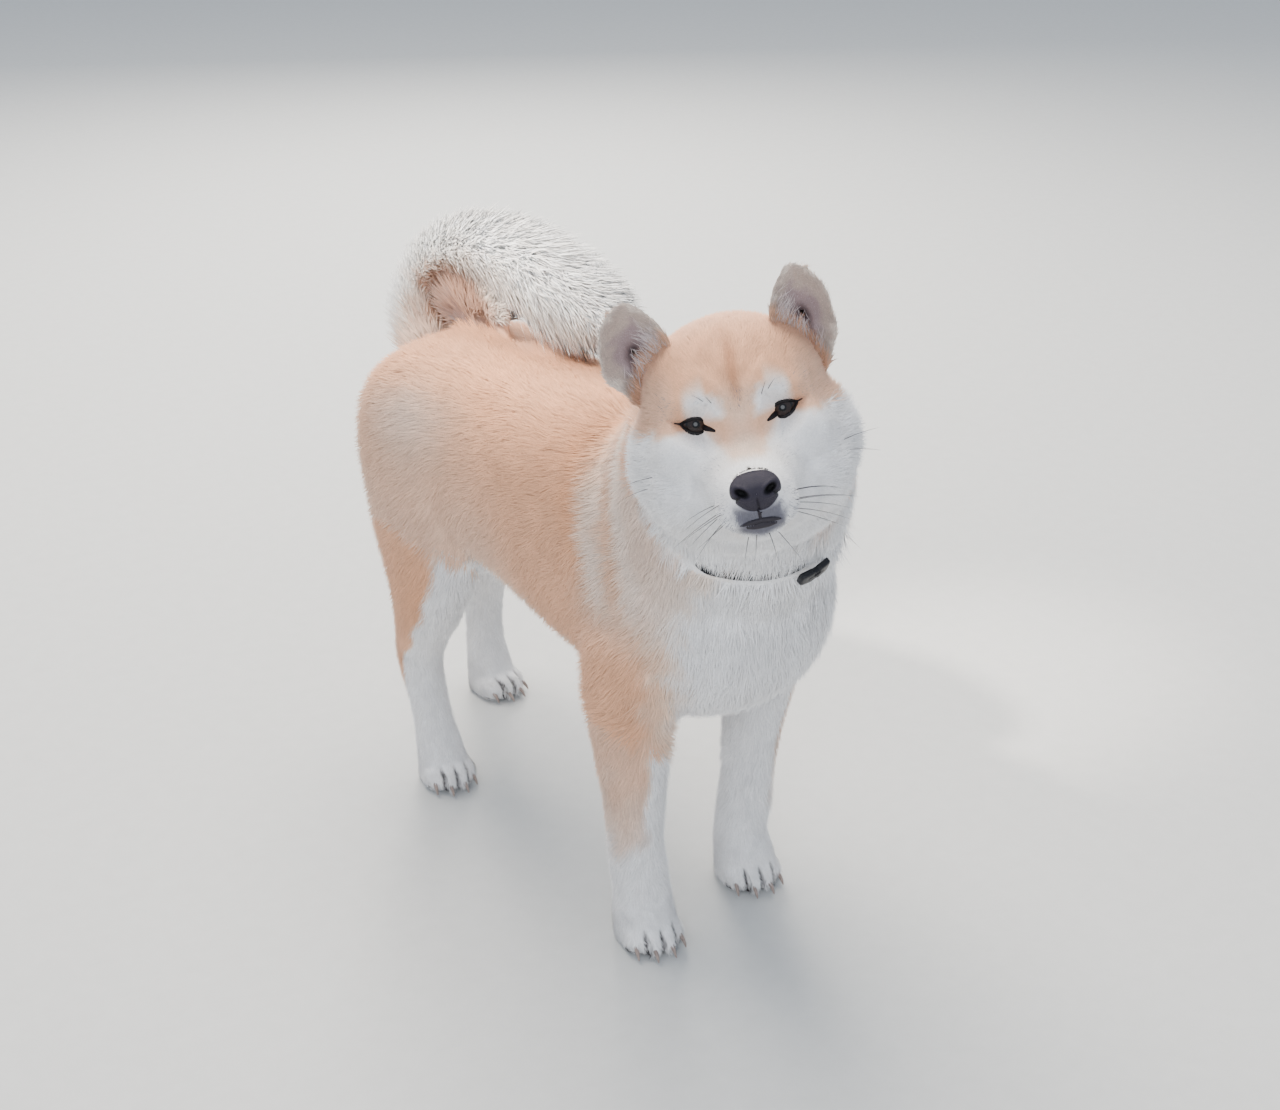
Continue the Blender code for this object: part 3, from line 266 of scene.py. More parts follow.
# Axis of each leg: height, place across, place along
LEG_AXES = {
    "foreleg_right": [
        (0.265, -0.056, -0.135), (0.170, -0.060, -0.145), (0.092, -0.060, -0.149), (0.0, -0.058, -0.155),
    ],
    "foreleg_left": [
        (0.265, 0.080, -0.138), (0.170, 0.078, -0.127), (0.092, 0.067, -0.131), (0.0, 0.056, -0.140),
    ],
    "hindleg_right": [
        (0.330, -0.054, 0.148), (0.240, -0.063, 0.128), (0.165, -0.066, 0.133),
        (0.110, -0.064, 0.154), (0.050, -0.062, 0.139), (0.0, -0.062, 0.130),
    ],
    "hindleg_left": [
        (0.330, 0.052, 0.150), (0.240, 0.064, 0.158), (0.165, 0.068, 0.204),
        (0.110, 0.064, 0.247), (0.050, 0.060, 0.245), (0.0, 0.058, 0.235),
    ],
}

# Markings of the head, in its frame
# Upper edge of the cheeks' white: distance from the middle, height
CHEEK_EDGE = [
    (0.0, -0.0260), (0.008, -0.0200), (0.014, -0.0115), (0.021, -0.0075),
    (0.030, -0.0050), (0.038, -0.0040), (0.047, -0.0035), (0.065, -0.0030),
]
# Pale spot over each eye: centre, half sizes, tilt
BROW_SPOT = ((0.0206, 0.0120), (0.0105, 0.0085), math.radians(24.0))

# Skin
CLOSING = 0.0006
VOXEL = 0.0025
SKIN_PASSES = 8
SHRINK_STEPS = 4
FIELD_PASSES = 40
WITHERS_RISE = 0.006
WITHERS_AT = (0.004, -0.045)
WITHERS_SIZE = (0.050, 0.062)
GROUND_GAP = 0.0020
SKIN_SHADE = 0.92
# Boxes of finer skin: corners of the face in the head's frame, and height of the toes
FACE_BOX = ((-0.052, -0.090, -0.072), (0.052, 0.016, 0.045))
TOES_TOP = 0.025

# Coat of each part: depth from the solid's surface to the skin, length, width, tufts to the square centimetre
COAT = {
    "torso": (0.0068, 0.0175, 0.0012, 40.0),
    "neck": (0.0080, 0.0205, 0.0012, 44.0),
    "thigh": (0.0058, 0.0160, 0.0011, 48.0),
    "foreleg": (0.0042, 0.0120, 0.0010, 58.0),
    "shank": (0.0032, 0.0100, 0.0010, 64.0),
    "forepaw": (0.0016, 0.0065, 0.0008, 110.0),
    "hindpaw": (0.0016, 0.0065, 0.0008, 110.0),
    "head": (0.0038, 0.0105, 0.0009, 94.0),
    "tail": (0.0, 0.0240, 0.0011, 66.0),
}
MUZZLE_COAT = (0.0014, 0.0045, 0.0006, 210.0)
CHEEK_COAT = (0.0070, 0.0170, 0.0010, 66.0)
LID_COAT = (0.0006, 0.0028, 0.0005, 280.0)
LIFT = 0.32
COAT_PASSES = 90
LID_CLEAR = 0.0012
LID_CLEAR_CORNER = 0.0006
SOLE_CLEAR = 0.0032
TUFTS_TO_METRE = 1e4
TAIL_HAIR_INSIDE = 0.024
SHEEN = 0.25
TAIL_SHEEN = 0.7

# Tufts: ranges of their sizes, height of the ridge, shade at the tip, and size of one's patch on the UV map
TUFT_LENGTHS = (0.72, 1.22)
TUFT_WIDTHS = (0.75, 1.25)
TUFT_RISES = (0.70, 1.30)
TUFT_CURL = 0.10
TUFT_TONES = 0.055
RIDGE = 0.34
TIP_SHADE = 1.04
PATCH = (0.0015, 0.003)

# Pieces of the coat on a node, where more than one, and each part's material slot
PIECES = {"torso": 3, "head": 3, "tail": 2}
SLOTS = {
    "torso": "red_coat", "neck": "red_coat", "head": "head_coat", "thigh": "red_coat", "foreleg": "red_coat",
    "shank": "white_coat", "forepaw": "white_coat", "hindpaw": "white_coat", "tail": "tail_coat",
}
# The way the hair lies on parts where it is the same all over
PLAIN_WAYS = {"foreleg": (0.0, 0.22, -1.0), "thigh": (0.0, 0.50, -0.85), "shank": (0.0, 0.18, -1.0)}

# Coat of the ears: depth, length, width, tufts to the square centimetre
EAR_COAT = {
    "inside": (0.0, 0.0030, 0.0005, 170.0),
    "outside": (0.0, 0.0044, 0.0008, 170.0),
    "canal": (0.0, 0.0030, 0.0005, 0.0),
    "foot": (0.0, 0.0110, 0.0010, 90.0),
}
EAR_HAIR_COAT = (0.0, 0.0105, 0.00038, 52.0)

# Tail's middle line: centre, radius of its flesh, reach of its hair
TAIL = [
    ((0.000, 0.196, 0.340), 0.0200, 0.036),
    ((0.000, 0.226, 0.376), 0.0175, 0.030),
    ((0.000, 0.2335, 0.406), 0.0155, 0.0255),
    ((0.002, 0.2185, 0.4345), 0.0155, 0.0255),
    ((0.006, 0.1850, 0.4560), 0.0175, 0.0290),
    ((0.012, 0.1460, 0.4645), 0.0200, 0.0335),
    ((0.020, 0.1105, 0.4620), 0.0220, 0.0375),
    ((0.027, 0.0800, 0.4535), 0.0220, 0.0385),
    ((0.034, 0.0510, 0.4430), 0.0185, 0.0340),
    ((0.039, 0.0270, 0.4350), 0.0130, 0.0260),
    ((0.042, 0.0080, 0.4290), 0.0065, 0.0160),
]

# Hair in the curl of the tail: centre and half sizes of the skin it grows on, and the place it fans out from
CURL_AT = (0.006, 0.1520, 0.4120)
CURL_SIZE = (0.0110, 0.0500, 0.0350)
FAN_AT = (0.000, 0.1640, 0.3980)

# Paws: centre of the sole, turn, size against a forepaw's
PAW_PLACES = {
    "forepaw_right": ((-0.058, -0.161), math.radians(-12.0), 0.954),
    "forepaw_left": ((0.056, -0.145), math.radians(-14.0), 0.954),
    "hindpaw_right": ((-0.062, 0.126), math.radians(-10.0), 0.878),
    "hindpaw_left": ((0.058, 0.231), math.radians(8.0), 0.878),
}
TOE_SPREAD = 0.0185
TOES = [(-1.00, 0.010), (-0.37, 0.0185), (0.37, 0.0185), (1.00, 0.010)]
SLIT_SHARES = (-0.685, 0.0, 0.685)
SLIT_WIDTH = 0.0013
SLIT_DEPTH = 0.0042

# Studio: name, place, target, size, power, colour
LIGHTS = [
    ("sky", (0.3, 1.0, 2.6), (0.0, 0.0, 0.2), 2.4, 172.0, (1.0, 0.935, 0.850)),
    ("back", (1.3, 2.3, 1.5), (0.0, 0.0, 0.35), 0.9, 75.0, (1.0, 0.95, 0.88)),
    ("sun", (-1.1, 0.45, 1.9), (0.01, 0.13, 0.51), 0.1, 380.0, (1.0, 0.92, 0.83)),
    ("fill", (-1.8, -2.2, 1.5), (0.0, 0.0, 0.25), 2.0, 54.0, (0.90, 0.94, 1.0)),
]
SUN_ANGLE = math.radians(12.0)
SUN_RADIUS = 0.06
SKY_COLOUR = (0.75, 0.85, 1.0, 1.0)
FLOOR_HALF = 6.0
FLOOR_LEVEL = -0.0002


def eye_colour(colour):
    """Turns a colour as the eye sees it into a linear one."""
    colour = np.asarray(colour, dtype=float)
    return np.where(colour <= 0.04045, colour / 12.92, ((colour + 0.055) / 1.055) ** 2.4)


def box_middle(node):
    """The middle of a loaded node's box."""
    low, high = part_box(node)
    return (low + high) / 2


def head_turn():
    """The head's rotation against the body."""
    turn = Matrix.Rotation(HEAD_YAW, 4, "Z") @ Matrix.Rotation(-HEAD_RAISED, 4, "X")
    return turn @ Matrix.Rotation(HEAD_ROLL, 4, "Y")


def head_pose():
    """The head's frame, placed by the two eyes of the loaded model."""
    turn = head_turn()
    eyes = (box_middle("eye_right") + box_middle("eye_left")) / 2
    origin = eyes - turn.to_3x3() @ Vector((0.0, EYE_AT.y, EYE_AT.z))
    return Matrix.Translation(origin) @ turn


HEAD = head_pose()
SHIFT = HEAD.translation - HEAD_AT
HEAD_ARRAY = np.array(HEAD.to_3x3())
HEAD_ORIGIN = np.array(HEAD.translation)
SHIFT_ARRAY = np.array(SHIFT)


def to_head(points):
    """Points of the world in the head's frame."""
    return (points - HEAD_ORIGIN) @ HEAD_ARRAY


def from_head(points):
    """Points of the head's frame in the world."""
    return np.asarray(points, dtype=float) @ HEAD_ARRAY.T + HEAD_ORIGIN


def to_body(points):
    """Points of the world in the body's frame."""
    return points - SHIFT_ARRAY


def placed(points, pose):
    """Points of a frame in the world."""
    pose = np.array(pose)
    return points @ pose[:3, :3].T + pose[:3, 3]


def unit(vectors):
    """Vectors of the same ways with length one."""
    length = np.linalg.norm(vectors, axis=-1, keepdims=True)
    return vectors / np.maximum(length, 1e-12)


def smoothstep(low, high, value):
    """A smooth step from 0 at low to 1 at high."""
    share = np.clip((value - low) / (high - low), 0.0, 1.0)
    return share * share * (3 - 2 * share)


def hump(value, middle, width):
    """A smooth hump of height one."""
    return np.exp(-((value - middle) / width) ** 2)


def mix(first, second, share):
    """Rows between first and second."""
    return first + (np.asarray(second) - first) * np.asarray(share)[..., None]


def table_at(table, value):
    """The second column of a table where its first has the given value."""
    first, second = np.array(table).T
    return np.interp(value, first, second)


def ripple(points, size, seed, waves=9):
    """Smooth noise of about unit strength with features of the given size."""
    draw = np.random.default_rng(seed)
    result = np.zeros(len(points))
    for _ in range(waves):
        way = unit(draw.normal(size=3)) * 2 * math.pi / (size * draw.uniform(0.7, 1.6))
        result += np.sin(points @ way + draw.uniform(0, 2 * math.pi))
    return result * math.sqrt(2.0 / waves)


def mesh_object(name, points, faces):
    """A mesh object from arrays of points and of triangles or quads."""
    points = np.asarray(points, dtype=np.float32)
    faces = np.asarray(faces, dtype=np.int32)
    corners = faces.shape[1]
    mesh = bpy.data.meshes.new(name)
    mesh.vertices.add(len(points))
    mesh.vertices.foreach_set("co", points.ravel())
    mesh.loops.add(faces.size)
    mesh.loops.foreach_set("vertex_index", faces.ravel())
    mesh.polygons.add(len(faces))
    mesh.polygons.foreach_set("loop_start", np.arange(0, faces.size, corners, dtype=np.int32))
    mesh.update(calc_edges=True)
    obj = bpy.data.objects.new(name, mesh)
    bpy.context.scene.collection.objects.link(obj)
    return obj


def points_of(mesh):
    """A mesh's points as an array."""
    points = np.empty(len(mesh.vertices) * 3, dtype=np.float32)
    mesh.vertices.foreach_get("co", points)
    return points.reshape(-1, 3).astype(float)


def triangles_of(mesh):
    """A mesh's faces as an array of triangles."""
    mesh.calc_loop_triangles()
    faces = np.empty(len(mesh.loop_triangles) * 3, dtype=np.int32)
    mesh.loop_triangles.foreach_get("vertices", faces)
    return faces.reshape(-1, 3)


def edges_of(mesh):
    """A mesh's edges as an array."""
    edges = np.empty(len(mesh.edges) * 2, dtype=np.int32)
    mesh.edges.foreach_get("vertices", edges)
    return edges.reshape(-1, 2)


def normals_of(points, faces):
    """Normals of points from the triangles around them, weighted by their area."""
    corners = points[faces]
    across = np.cross(corners[:, 1] - corners[:, 0], corners[:, 2] - corners[:, 0])
    normals = np.zeros_like(points)
    for corner in range(3):
        for axis in range(3):
            normals[:, axis] += np.bincount(faces[:, corner], across[:, axis], len(points))
    return unit(normals)


def spread(values, edges, passes, share=0.5):
    """Values at points evened out along the edges of a mesh."""
    values = np.asarray(values, dtype=float)
    flat = values.reshape(len(values), -1).copy()
    count = np.bincount(edges.ravel(), minlength=len(flat))[:, None]
    for _ in range(passes):
        total = np.zeros_like(flat)
        for column in range(flat.shape[1]):
            total[:, column] = (
                np.bincount(edges[:, 0], flat[edges[:, 1], column], len(flat))
                + np.bincount(edges[:, 1], flat[edges[:, 0], column], len(flat))
            )
        flat += share * (total / np.maximum(count, 1) - flat)
    return flat.reshape(values.shape)


def apply_modifiers(obj):
    """Puts an object's modified mesh in place of its own."""
    graph = bpy.context.evaluated_depsgraph_get()
    mesh = bpy.data.meshes.new_from_object(obj.evaluated_get(graph))
    obj.modifiers.clear()
    obj.data = mesh


def welded(node):
    """Points, triangles and normals of a loaded node, with its doubled points joined."""
    shell = bmesh.new()
    shell.from_mesh(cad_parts[node].data)
    bmesh.ops.remove_doubles(shell, verts=shell.verts, dist=1e-6)
    bmesh.ops.triangulate(shell, faces=shell.faces)
    shell.normal_update()
    points = np.array([point.co[:] for point in shell.verts])
    normals = np.array([point.normal[:] for point in shell.verts])
    faces = np.array([[corner.index for corner in face.verts] for face in shell.faces])
    shell.free()
    return points, faces, normals


def curve_through(rows, steps):
    """Rows of numbers joined by a smooth curve, with the given steps from each row to the next."""
    rows = np.array(rows, dtype=float)
    ends = np.vstack([2 * rows[0] - rows[1], rows, 2 * rows[-1] - rows[-2]])
    result = []
    for index in range(len(rows) - 1):
        before, start, end, after = ends[index:index + 4]
        for step in range(steps):
            t = step / steps
            result.append(0.5 * (
                2 * start + (end - before) * t
                + (2 * before - 5 * start + 4 * end - after) * t ** 2
                + (3 * start - before - 3 * end + after) * t ** 3
            ))
    result.append(rows[-1])
    return np.array(result)


def grid_faces(rows, columns):
    """Quads over a grid of points whose rows are closed rings."""
    faces = []
    for row in range(rows - 1):
        for column in range(columns):
            beside = (column + 1) % columns
            near = row * columns
            far = near + columns
            faces.append((near + column, near + beside, far + beside, far + column))
    return np.array(faces)


def halved(quads):
    """Quads cut into triangles."""
    return np.vstack([quads[:, [0, 1, 2]], quads[:, [0, 2, 3]]])


def joined(parts):
    """Points and faces of several meshes put together."""
    points = []
    faces = []
    first = 0
    for part, corners in parts:
        points.append(part)
        faces.append(corners + first)
        first += len(part)
    return np.vstack(points), np.vstack(faces)


def ball_grid(rows, columns, end):
    """The angle from the pole and the turn about it for points over a ball."""
    angle, turn = np.meshgrid(
        np.linspace(end, math.pi - end, rows), np.linspace(0, 2 * math.pi, columns, endpoint=False),
        indexing="ij",
    )
    return angle.ravel(), turn.ravel()


def ball_ways(angle, turn):
    """Directions at an angle from -Y and a turn about it."""
    return np.stack([np.sin(angle) * np.cos(turn), -np.cos(angle), np.sin(angle) * np.sin(turn)], axis=-1)


def tube_arrays(path, radii, sides):
    """Points and triangles of a closed round tube along a path."""
    path = np.asarray(path, dtype=float)
    points = []
    across = None
    for index, point in enumerate(path):
        ahead = unit(path[min(index + 1, len(path) - 1)] - path[max(index - 1, 0)])
        if across is None:
            across = np.array(Vector(ahead).orthogonal())
        across = unit(across - ahead * (across @ ahead))
        beside = np.cross(ahead, across)
        for side in range(sides):
            angle = 2 * math.pi * side / sides
            out = across * math.cos(angle) + beside * math.sin(angle)
            points.append(point + out * radii[index])
    first = len(points)
    points.extend([path[0], path[-1]])
    faces = []
    for a, b, c, d in grid_faces(len(path), sides):
        faces.extend([(a, b, c), (a, c, d)])
    for side in range(sides):
        beside = (side + 1) % sides
        faces.append((first, beside, side))
        last = (len(path) - 1) * sides
        faces.append((first + 1, last + side, last + beside))
    return np.array(points), np.array(faces)


class TailPath:
    """The tail's middle line, with the radius of its flesh and the reach of its hair along it."""

    def __init__(self):
        rows = curve_through([(*centre, core, reach) for centre, core, reach in TAIL], 6)
        rows[:, :3] += SHIFT_ARRAY
        self.rows = rows
        steps = np.linalg.norm(np.diff(rows[:, :3], axis=0), axis=1)
        self.lengths = np.concatenate([[0.0], np.cumsum(steps)])
        self.along = unit(np.gradient(rows[:, :3], axis=0))

    def nearest(self, points):
        """For each point: place along the tail, its centre there, the way ahead, core radius and reach."""
        gaps = np.linalg.norm(points[:, None, :] - self.rows[None, :, :3], axis=2)
        index = gaps.argmin(axis=1)
        row = self.rows[index]
        return self.lengths[index], row[:, :3], self.along[index], row[:, 3], row[:, 4]


tail_path = TailPath()


class Surface:
    """A skin as arrays, with fields of values at its points."""

    def __init__(self, points, faces, edges):
        self.points = points
        self.faces = faces
        self.edges = edges
        self.normals = normals_of(points, faces)

    def even_out(self, passes, share=0.5):
        self.points = spread(self.points, self.edges, passes, share)
        self.normals = normals_of(self.points, self.faces)

    def move(self, by):
        self.points = self.points + by
        self.normals = normals_of(self.points, self.faces)

    def tree(self):
        return BVHTree.FromPolygons(self.points.tolist(), self.faces.tolist())


def melted_flesh():
    """All nodes of flesh and the tail's flesh melted into one closed mesh."""
    parts = []
    for node in FLESH + FILLED:
        points, faces, normals = welded(node)
        parts.append((points + normals * CLOSING, faces))
    parts.append(tube_arrays(tail_path.rows[:, :3], tail_path.rows[:, 3], 16))
    ball, quads = flat_ball(*CURL_SIZE, low=1.0)
    parts.append((ball + np.array(CURL_AT) + SHIFT_ARRAY, halved(quads)[:, ::-1]))
    obj = mesh_object("skin", *joined(parts))
    remesh = obj.modifiers.new("melt", "REMESH")
    remesh.mode = "VOXEL"
    remesh.voxel_size = VOXEL
    smooth = obj.modifiers.new("smooth", "SMOOTH")
    smooth.factor = 0.5
    smooth.iterations = SKIN_PASSES
    apply_modifiers(obj)
    keep_largest(obj)
    return obj


def keep_largest(obj):
    """Deletes all but the largest connected part of a mesh."""
    shell = bmesh.new()
    shell.from_mesh(obj.data)
    unseen = set(shell.verts)
    best = []
    while unseen:
        start = unseen.pop()
        group = [start]
        stack = [start]
        while stack:
            for edge in stack.pop().link_edges:
                for other in edge.verts:
                    if other in unseen:
                        unseen.remove(other)
                        group.append(other)
                        stack.append(other)
        if len(group) > len(best):
            best = group
    keep = set(best)
    bmesh.ops.delete(shell, geom=[point for point in shell.verts if point not in keep], context="VERTS")
    shell.to_mesh(obj.data)
    shell.free()


def refine(obj):
    """Splits the faces of the face and of the toes, so that they can hold finer forms."""
    shell = bmesh.new()
    shell.from_mesh(obj.data)
    middles = np.array([face.calc_center_median()[:] for face in shell.faces])
    low, high = np.array(FACE_BOX)
    head = to_head(middles)
    wanted = ((head > low) & (head < high)).all(axis=1) | (to_body(middles)[:, 2] < TOES_TOP)
    chosen = set()
    for face, want in zip(shell.faces, wanted):
        if want:
            chosen.update(face.edges)
    bmesh.ops.subdivide_edges(shell, edges=list(chosen), cuts=1, use_grid_fill=True)
    bmesh.ops.triangulate(shell, faces=[face for face in shell.faces if len(face.verts) > 4])
    shell.to_mesh(obj.data)
    shell.free()


def nearest_nodes(points, names):
    """The index in names of the loaded node nearest to each point."""
    parts = [welded(name)[:2] for name in names]
    owner = np.repeat(np.arange(len(names)), [len(faces) for _, faces in parts])
    corners, faces = joined(parts)
    tree = BVHTree.FromPolygons(corners.tolist(), faces.tolist())
    found = [tree.find_nearest(point)[2] for point in points.tolist()]
    return owner[found]


def coat_numbers(skin):
    """Depth, length, width and density of the coat at each point, with gentle changes from part to part."""
    points, owner, names = skin.points, skin.owner, skin.names
    rows = np.array([COAT[name.split("_")[0]] for name in names])[owner]
    rows = spread(rows, skin.edges, COAT_PASSES)
    head = to_head(points)
    is_head = np.isin(owner, [names.index("head"), names.index("neck")])
    cheek = smoothstep(0.024, 0.046, np.abs(head[:, 0])) * smoothstep(0.012, -0.010, head[:, 2])
    cheek = cheek * smoothstep(-0.012, 0.012, head[:, 1]) * is_head
    cheek = cheek * smoothstep(0.11, 0.08, head[:, 1])
    muzzle = smoothstep(0.004, -0.030, head[:, 1]) * is_head
    rows = mix(rows, CHEEK_COAT, cheek)
    rows = mix(rows, MUZZLE_COAT, muzzle)
    offset, _ = nearest_lid(points)
    near = smoothstep(0.011, 0.003, offset) * is_head
    rows = mix(rows, LID_COAT, near)
    return spread(rows, skin.edges, 8)


def torso_way(place):
    """Backwards along the trunk, and down its flanks and the front of the chest."""
    low = smoothstep(0.40, 0.27, place[:, 2])
    way = np.stack([np.zeros(len(place)), 1.0 - 0.35 * low, -0.12 - 0.75 * low], axis=1)
    front = smoothstep(-0.150, -0.215, place[:, 1])
    way = mix(way, (0.0, 0.10, -1.0), front)
    belly = smoothstep(0.22, 0.20, place[:, 2]) * (1 - front)
    return mix(way, (0.0, 1.0, -0.1), belly)


def neck_way(place):
    """Back and down along the neck, and straight down at the throat."""
    throat = smoothstep(-0.14, -0.20, place[:, 1])
    return mix(np.tile((0.0, 0.72, -0.70), (len(place), 1)), (0.0, 0.20, -1.0), throat)


def paw_way(place, turn):
    """Down the foot, and forwards over the toes."""
    low = smoothstep(0.044, 0.022, place[:, 2])
    ahead = np.array([math.sin(turn), -math.cos(turn), 0.0])
    return np.array([0.0, 0.05, -1.0]) + ahead * low[:, None] * 1.4


def head_way(local):
    """Away from the nose, and backwards behind the eyes."""
    way = unit(local - np.array([0.0, -0.095, -0.020]))
    way = way + np.array([0.0, 0.35, -0.18]) * smoothstep(-0.03, 0.03, local[:, 1])[:, None]
    return way @ HEAD_ARRAY.T


def tail_way(points):
    """Along the tail, and out from the hollow of its curl."""
    fan = to_body(points) - np.array(FAN_AT)
    return np.where(in_curl(points)[:, None], fan, tail_path.nearest(points)[2])


def region_way(points, owner, names):
    """The way the hair lies in each region, before it is evened out."""
    body = to_body(points)
    ways = np.zeros_like(points)
    for index, name in enumerate(names):
        chosen = owner == index
        kind = name.split("_")[0]
        if kind in PLAIN_WAYS:
            way = np.tile(PLAIN_WAYS[kind], (chosen.sum(), 1))
        elif kind == "torso":
            way = torso_way(body[chosen])
        elif kind == "neck":
            way = neck_way(body[chosen])
        elif kind == "head":
            way = head_way(to_head(points[chosen]))
        elif kind == "tail":
            way = tail_way(points[chosen])
        else:
            way = paw_way(body[chosen], PAW_PLACES[name][1])
        ways[chosen] = unit(way)
    return ways


def in_curl(points):
    """Whether points of the tail lie inside its curl, away from its middle line."""
    _, centre, _, core, _ = tail_path.nearest(points)
    return np.linalg.norm(points - centre, axis=1) > core + 0.0045


def into_surface(ways, normals):
    """Directions laid flat on the surface."""
    return unit(ways - normals * np.sum(ways * normals, axis=1, keepdims=True))


def eye_pose(side):
    """An eye's frame: X out to its outer corner, -Y out of the head, Z up, tilted as the lids are."""
    place = Matrix.Translation(Vector((EYE_AT.x * side, EYE_AT.y, EYE_AT.z)))
    tilt = Matrix.Rotation(-side * LID_TILT, 4, "Y")
    flip = Matrix.Scale(side, 4, (1, 0, 0))
    return HEAD @ place @ tilt @ flip


def to_eye(points, side):
    """Points of the world in an eye's frame."""
    return placed(points, eye_pose(side).inverted())


def opening_radius(turn):
    """Half size of the lids' opening at an angle from the outer corner, measured along the eyeball."""
    rise = np.abs(np.sin(turn))
    half_high = np.where(np.sin(turn) > 0, LID_UP * (1 - 0.14 * np.cos(turn)), LID_DOWN)
    half_wide = np.where(np.cos(turn) > 0, LID_OUTER, LID_INNER)
    bow = half_high * (np.cos(turn) / half_wide) ** 2
    return 2 * half_high / (rise + np.sqrt(rise ** 2 + 4 * bow * half_high))


def on_eye(offset, turn):
    """Directions from the eye's centre to places at an offset outside the opening."""
    return ball_ways((opening_radius(turn) + offset) / EYE_SPREAD, turn)


def lid_offset(local):
    """How far points lie outside the opening of the lids, and their angle about it."""
    turn = np.arctan2(local[:, 2], local[:, 0])
    angle = np.arccos(np.clip(-unit(local)[:, 1], -1.0, 1.0))
    return angle * EYE_SPREAD - opening_radius(turn), turn


def nearest_lid(points):
    """Each point's offset from the nearer eye's opening, and how near it is to a corner's level."""
    best = np.full(len(points), 1.0)
    level = np.zeros(len(points))
    for side in (-1, 1):
        local = to_eye(points, side)
        offset, turn = lid_offset(local)
        offset = np.where(np.linalg.norm(local, axis=1) < 0.040, offset, 1.0)
        closer = offset < best
        best = np.where(closer, offset, best)
        level = np.where(closer, np.abs(np.cos(turn)) ** 14, level)
    return best, level


def corner_streaks(points):
    """How dark the skin and hair are in the streaks that run on from the corners of the lids."""
    dark = np.zeros(len(points))
    for side in (-1, 1):
        local = to_eye(points, side)
        far = np.abs(local[:, 0])
        inner = local[:, 0] < 0
        length = np.where(inner, STREAK_INNER[0], STREAK_OUTER[0])
        thick = np.where(inner, STREAK_INNER[1], STREAK_OUTER[1])
        share = (far - STREAK_START) / length
        half = thick * (1 - 0.85 * np.clip(share, 0, 1))
        inside = smoothstep(half + 0.0006, half - 0.0004, np.abs(local[:, 2]))
        inside *= smoothstep(1.12, 0.85, share) * (far > STREAK_START) * (local[:, 1] < 0.006)
        dark = np.maximum(dark, inside * (np.linalg.norm(local, axis=1) < EYE_AREA))
    return dark


def sink_eye(skin, side):
    """Sinks the skin behind an eyeball, and carves it at the inner side down to the level of the lids."""
    local = to_eye(skin.points, side)
    offset, _ = lid_offset(local)
    front = np.linalg.norm(local, axis=1) < EYE_AREA
    sink = smoothstep(0.0024, 0.0010, offset) * front
    target = unit(local) * (EYE_RADIUS - EYE_GAP)
    local = local + (target - local) * sink[:, None]
    turn = np.arctan2(local[:, 2], local[:, 0])
    angle = opening_radius(turn) / EYE_SPREAD
    beyond = np.hypot(local[:, 0], local[:, 2]) - EYE_RADIUS * np.sin(angle)
    level = -EYE_RADIUS * np.cos(angle) - 0.0003 - LID_BANK * np.maximum(beyond - 0.0008, 0.0)
    over = np.maximum(level - local[:, 1], 0.0) * front * smoothstep(0.0100, 0.0055, beyond)
    over *= smoothstep(0.15, -0.45, np.cos(turn)) * (beyond > 0)
    local[:, 1] += over
    changed = (sink > 0) | (over > 0)
    skin.points = np.where(changed[:, None], placed(local, eye_pose(side)), skin.points)


def around_nose(head):
    """Places in the head's frame across and up the nose, as shares of its half sizes."""
    off = head - np.array(NOSE_AT)
    return np.hypot(off[:, 0] / (NOSE_WIDTH / 2), off[:, 2] / (NOSE_HEIGHT / 2))


def sculpt_face(skin):
    """Sinks the skin behind eyeballs and nose, and cuts the furrow of the forehead."""
    for side in (-1, 1):
        sink_eye(skin, side)
    head = to_head(skin.points)
    behind = smoothstep(1.02, 0.80, around_nose(head)) * (head[:, 1] < -0.064)
    head[:, 1] += 0.0070 * behind
    skin.points = from_head(head)
    furrow = hump(head[:, 0], 0.0, 0.0032) * smoothstep(0.004, 0.020, head[:, 2])
    furrow *= smoothstep(0.052, 0.036, head[:, 2]) * (head[:, 1] < 0.02)
    skin.move(-skin.normals * furrow[:, None] * 0.0016)


def raise_withers(skin):
    """Fills the line of the back between neck and loin."""
    x, y, z = to_body(skin.points).T
    share = hump(x, WITHERS_AT[0], WITHERS_SIZE[0]) * hump(y, WITHERS_AT[1], WITHERS_SIZE[1])
    share = share * smoothstep(0.33, 0.385, z) * (to_head(skin.points)[:, 1] > 0.09)
    skin.move(np.array([0.0, 0.0, WITHERS_RISE]) * share[:, None])


def sculpt_toes(skin):
    """Cuts the slits between the toes."""
    skin.move(-skin.normals * slits(skin.points)[:, None] * SLIT_DEPTH)


def slits(points):
    """How much each point lies in a slit between two toes."""
    body = to_body(points)
    result = np.zeros(len(points))
    for (out, place), turn, size in PAW_PLACES.values():
        dx = body[:, 0] - out
        dy = body[:, 1] - place
        across = dx * math.cos(turn) + dy * math.sin(turn)
        ahead = dx * math.sin(turn) - dy * math.cos(turn)
        near = (np.hypot(dx, dy) < 0.05) & (body[:, 2] < 0.04)
        near = near * smoothstep(0.010, 0.022, ahead) * smoothstep(0.024, 0.015, body[:, 2])
        for share in SLIT_SHARES:
            result = np.maximum(result, hump(across, share * TOE_SPREAD * size, SLIT_WIDTH) * near)
    return result


def leg_angle(body, leg, side):
    """The angle in degrees outwards from straight ahead about a leg's axis."""
    rows = np.array(sorted(LEG_AXES[leg]))
    out = np.interp(body[:, 2], rows[:, 0], rows[:, 1])
    place = np.interp(body[:, 2], rows[:, 0], rows[:, 2])
    return np.degrees(np.arctan2(side * (body[:, 0] - out), -(body[:, 1] - place)))


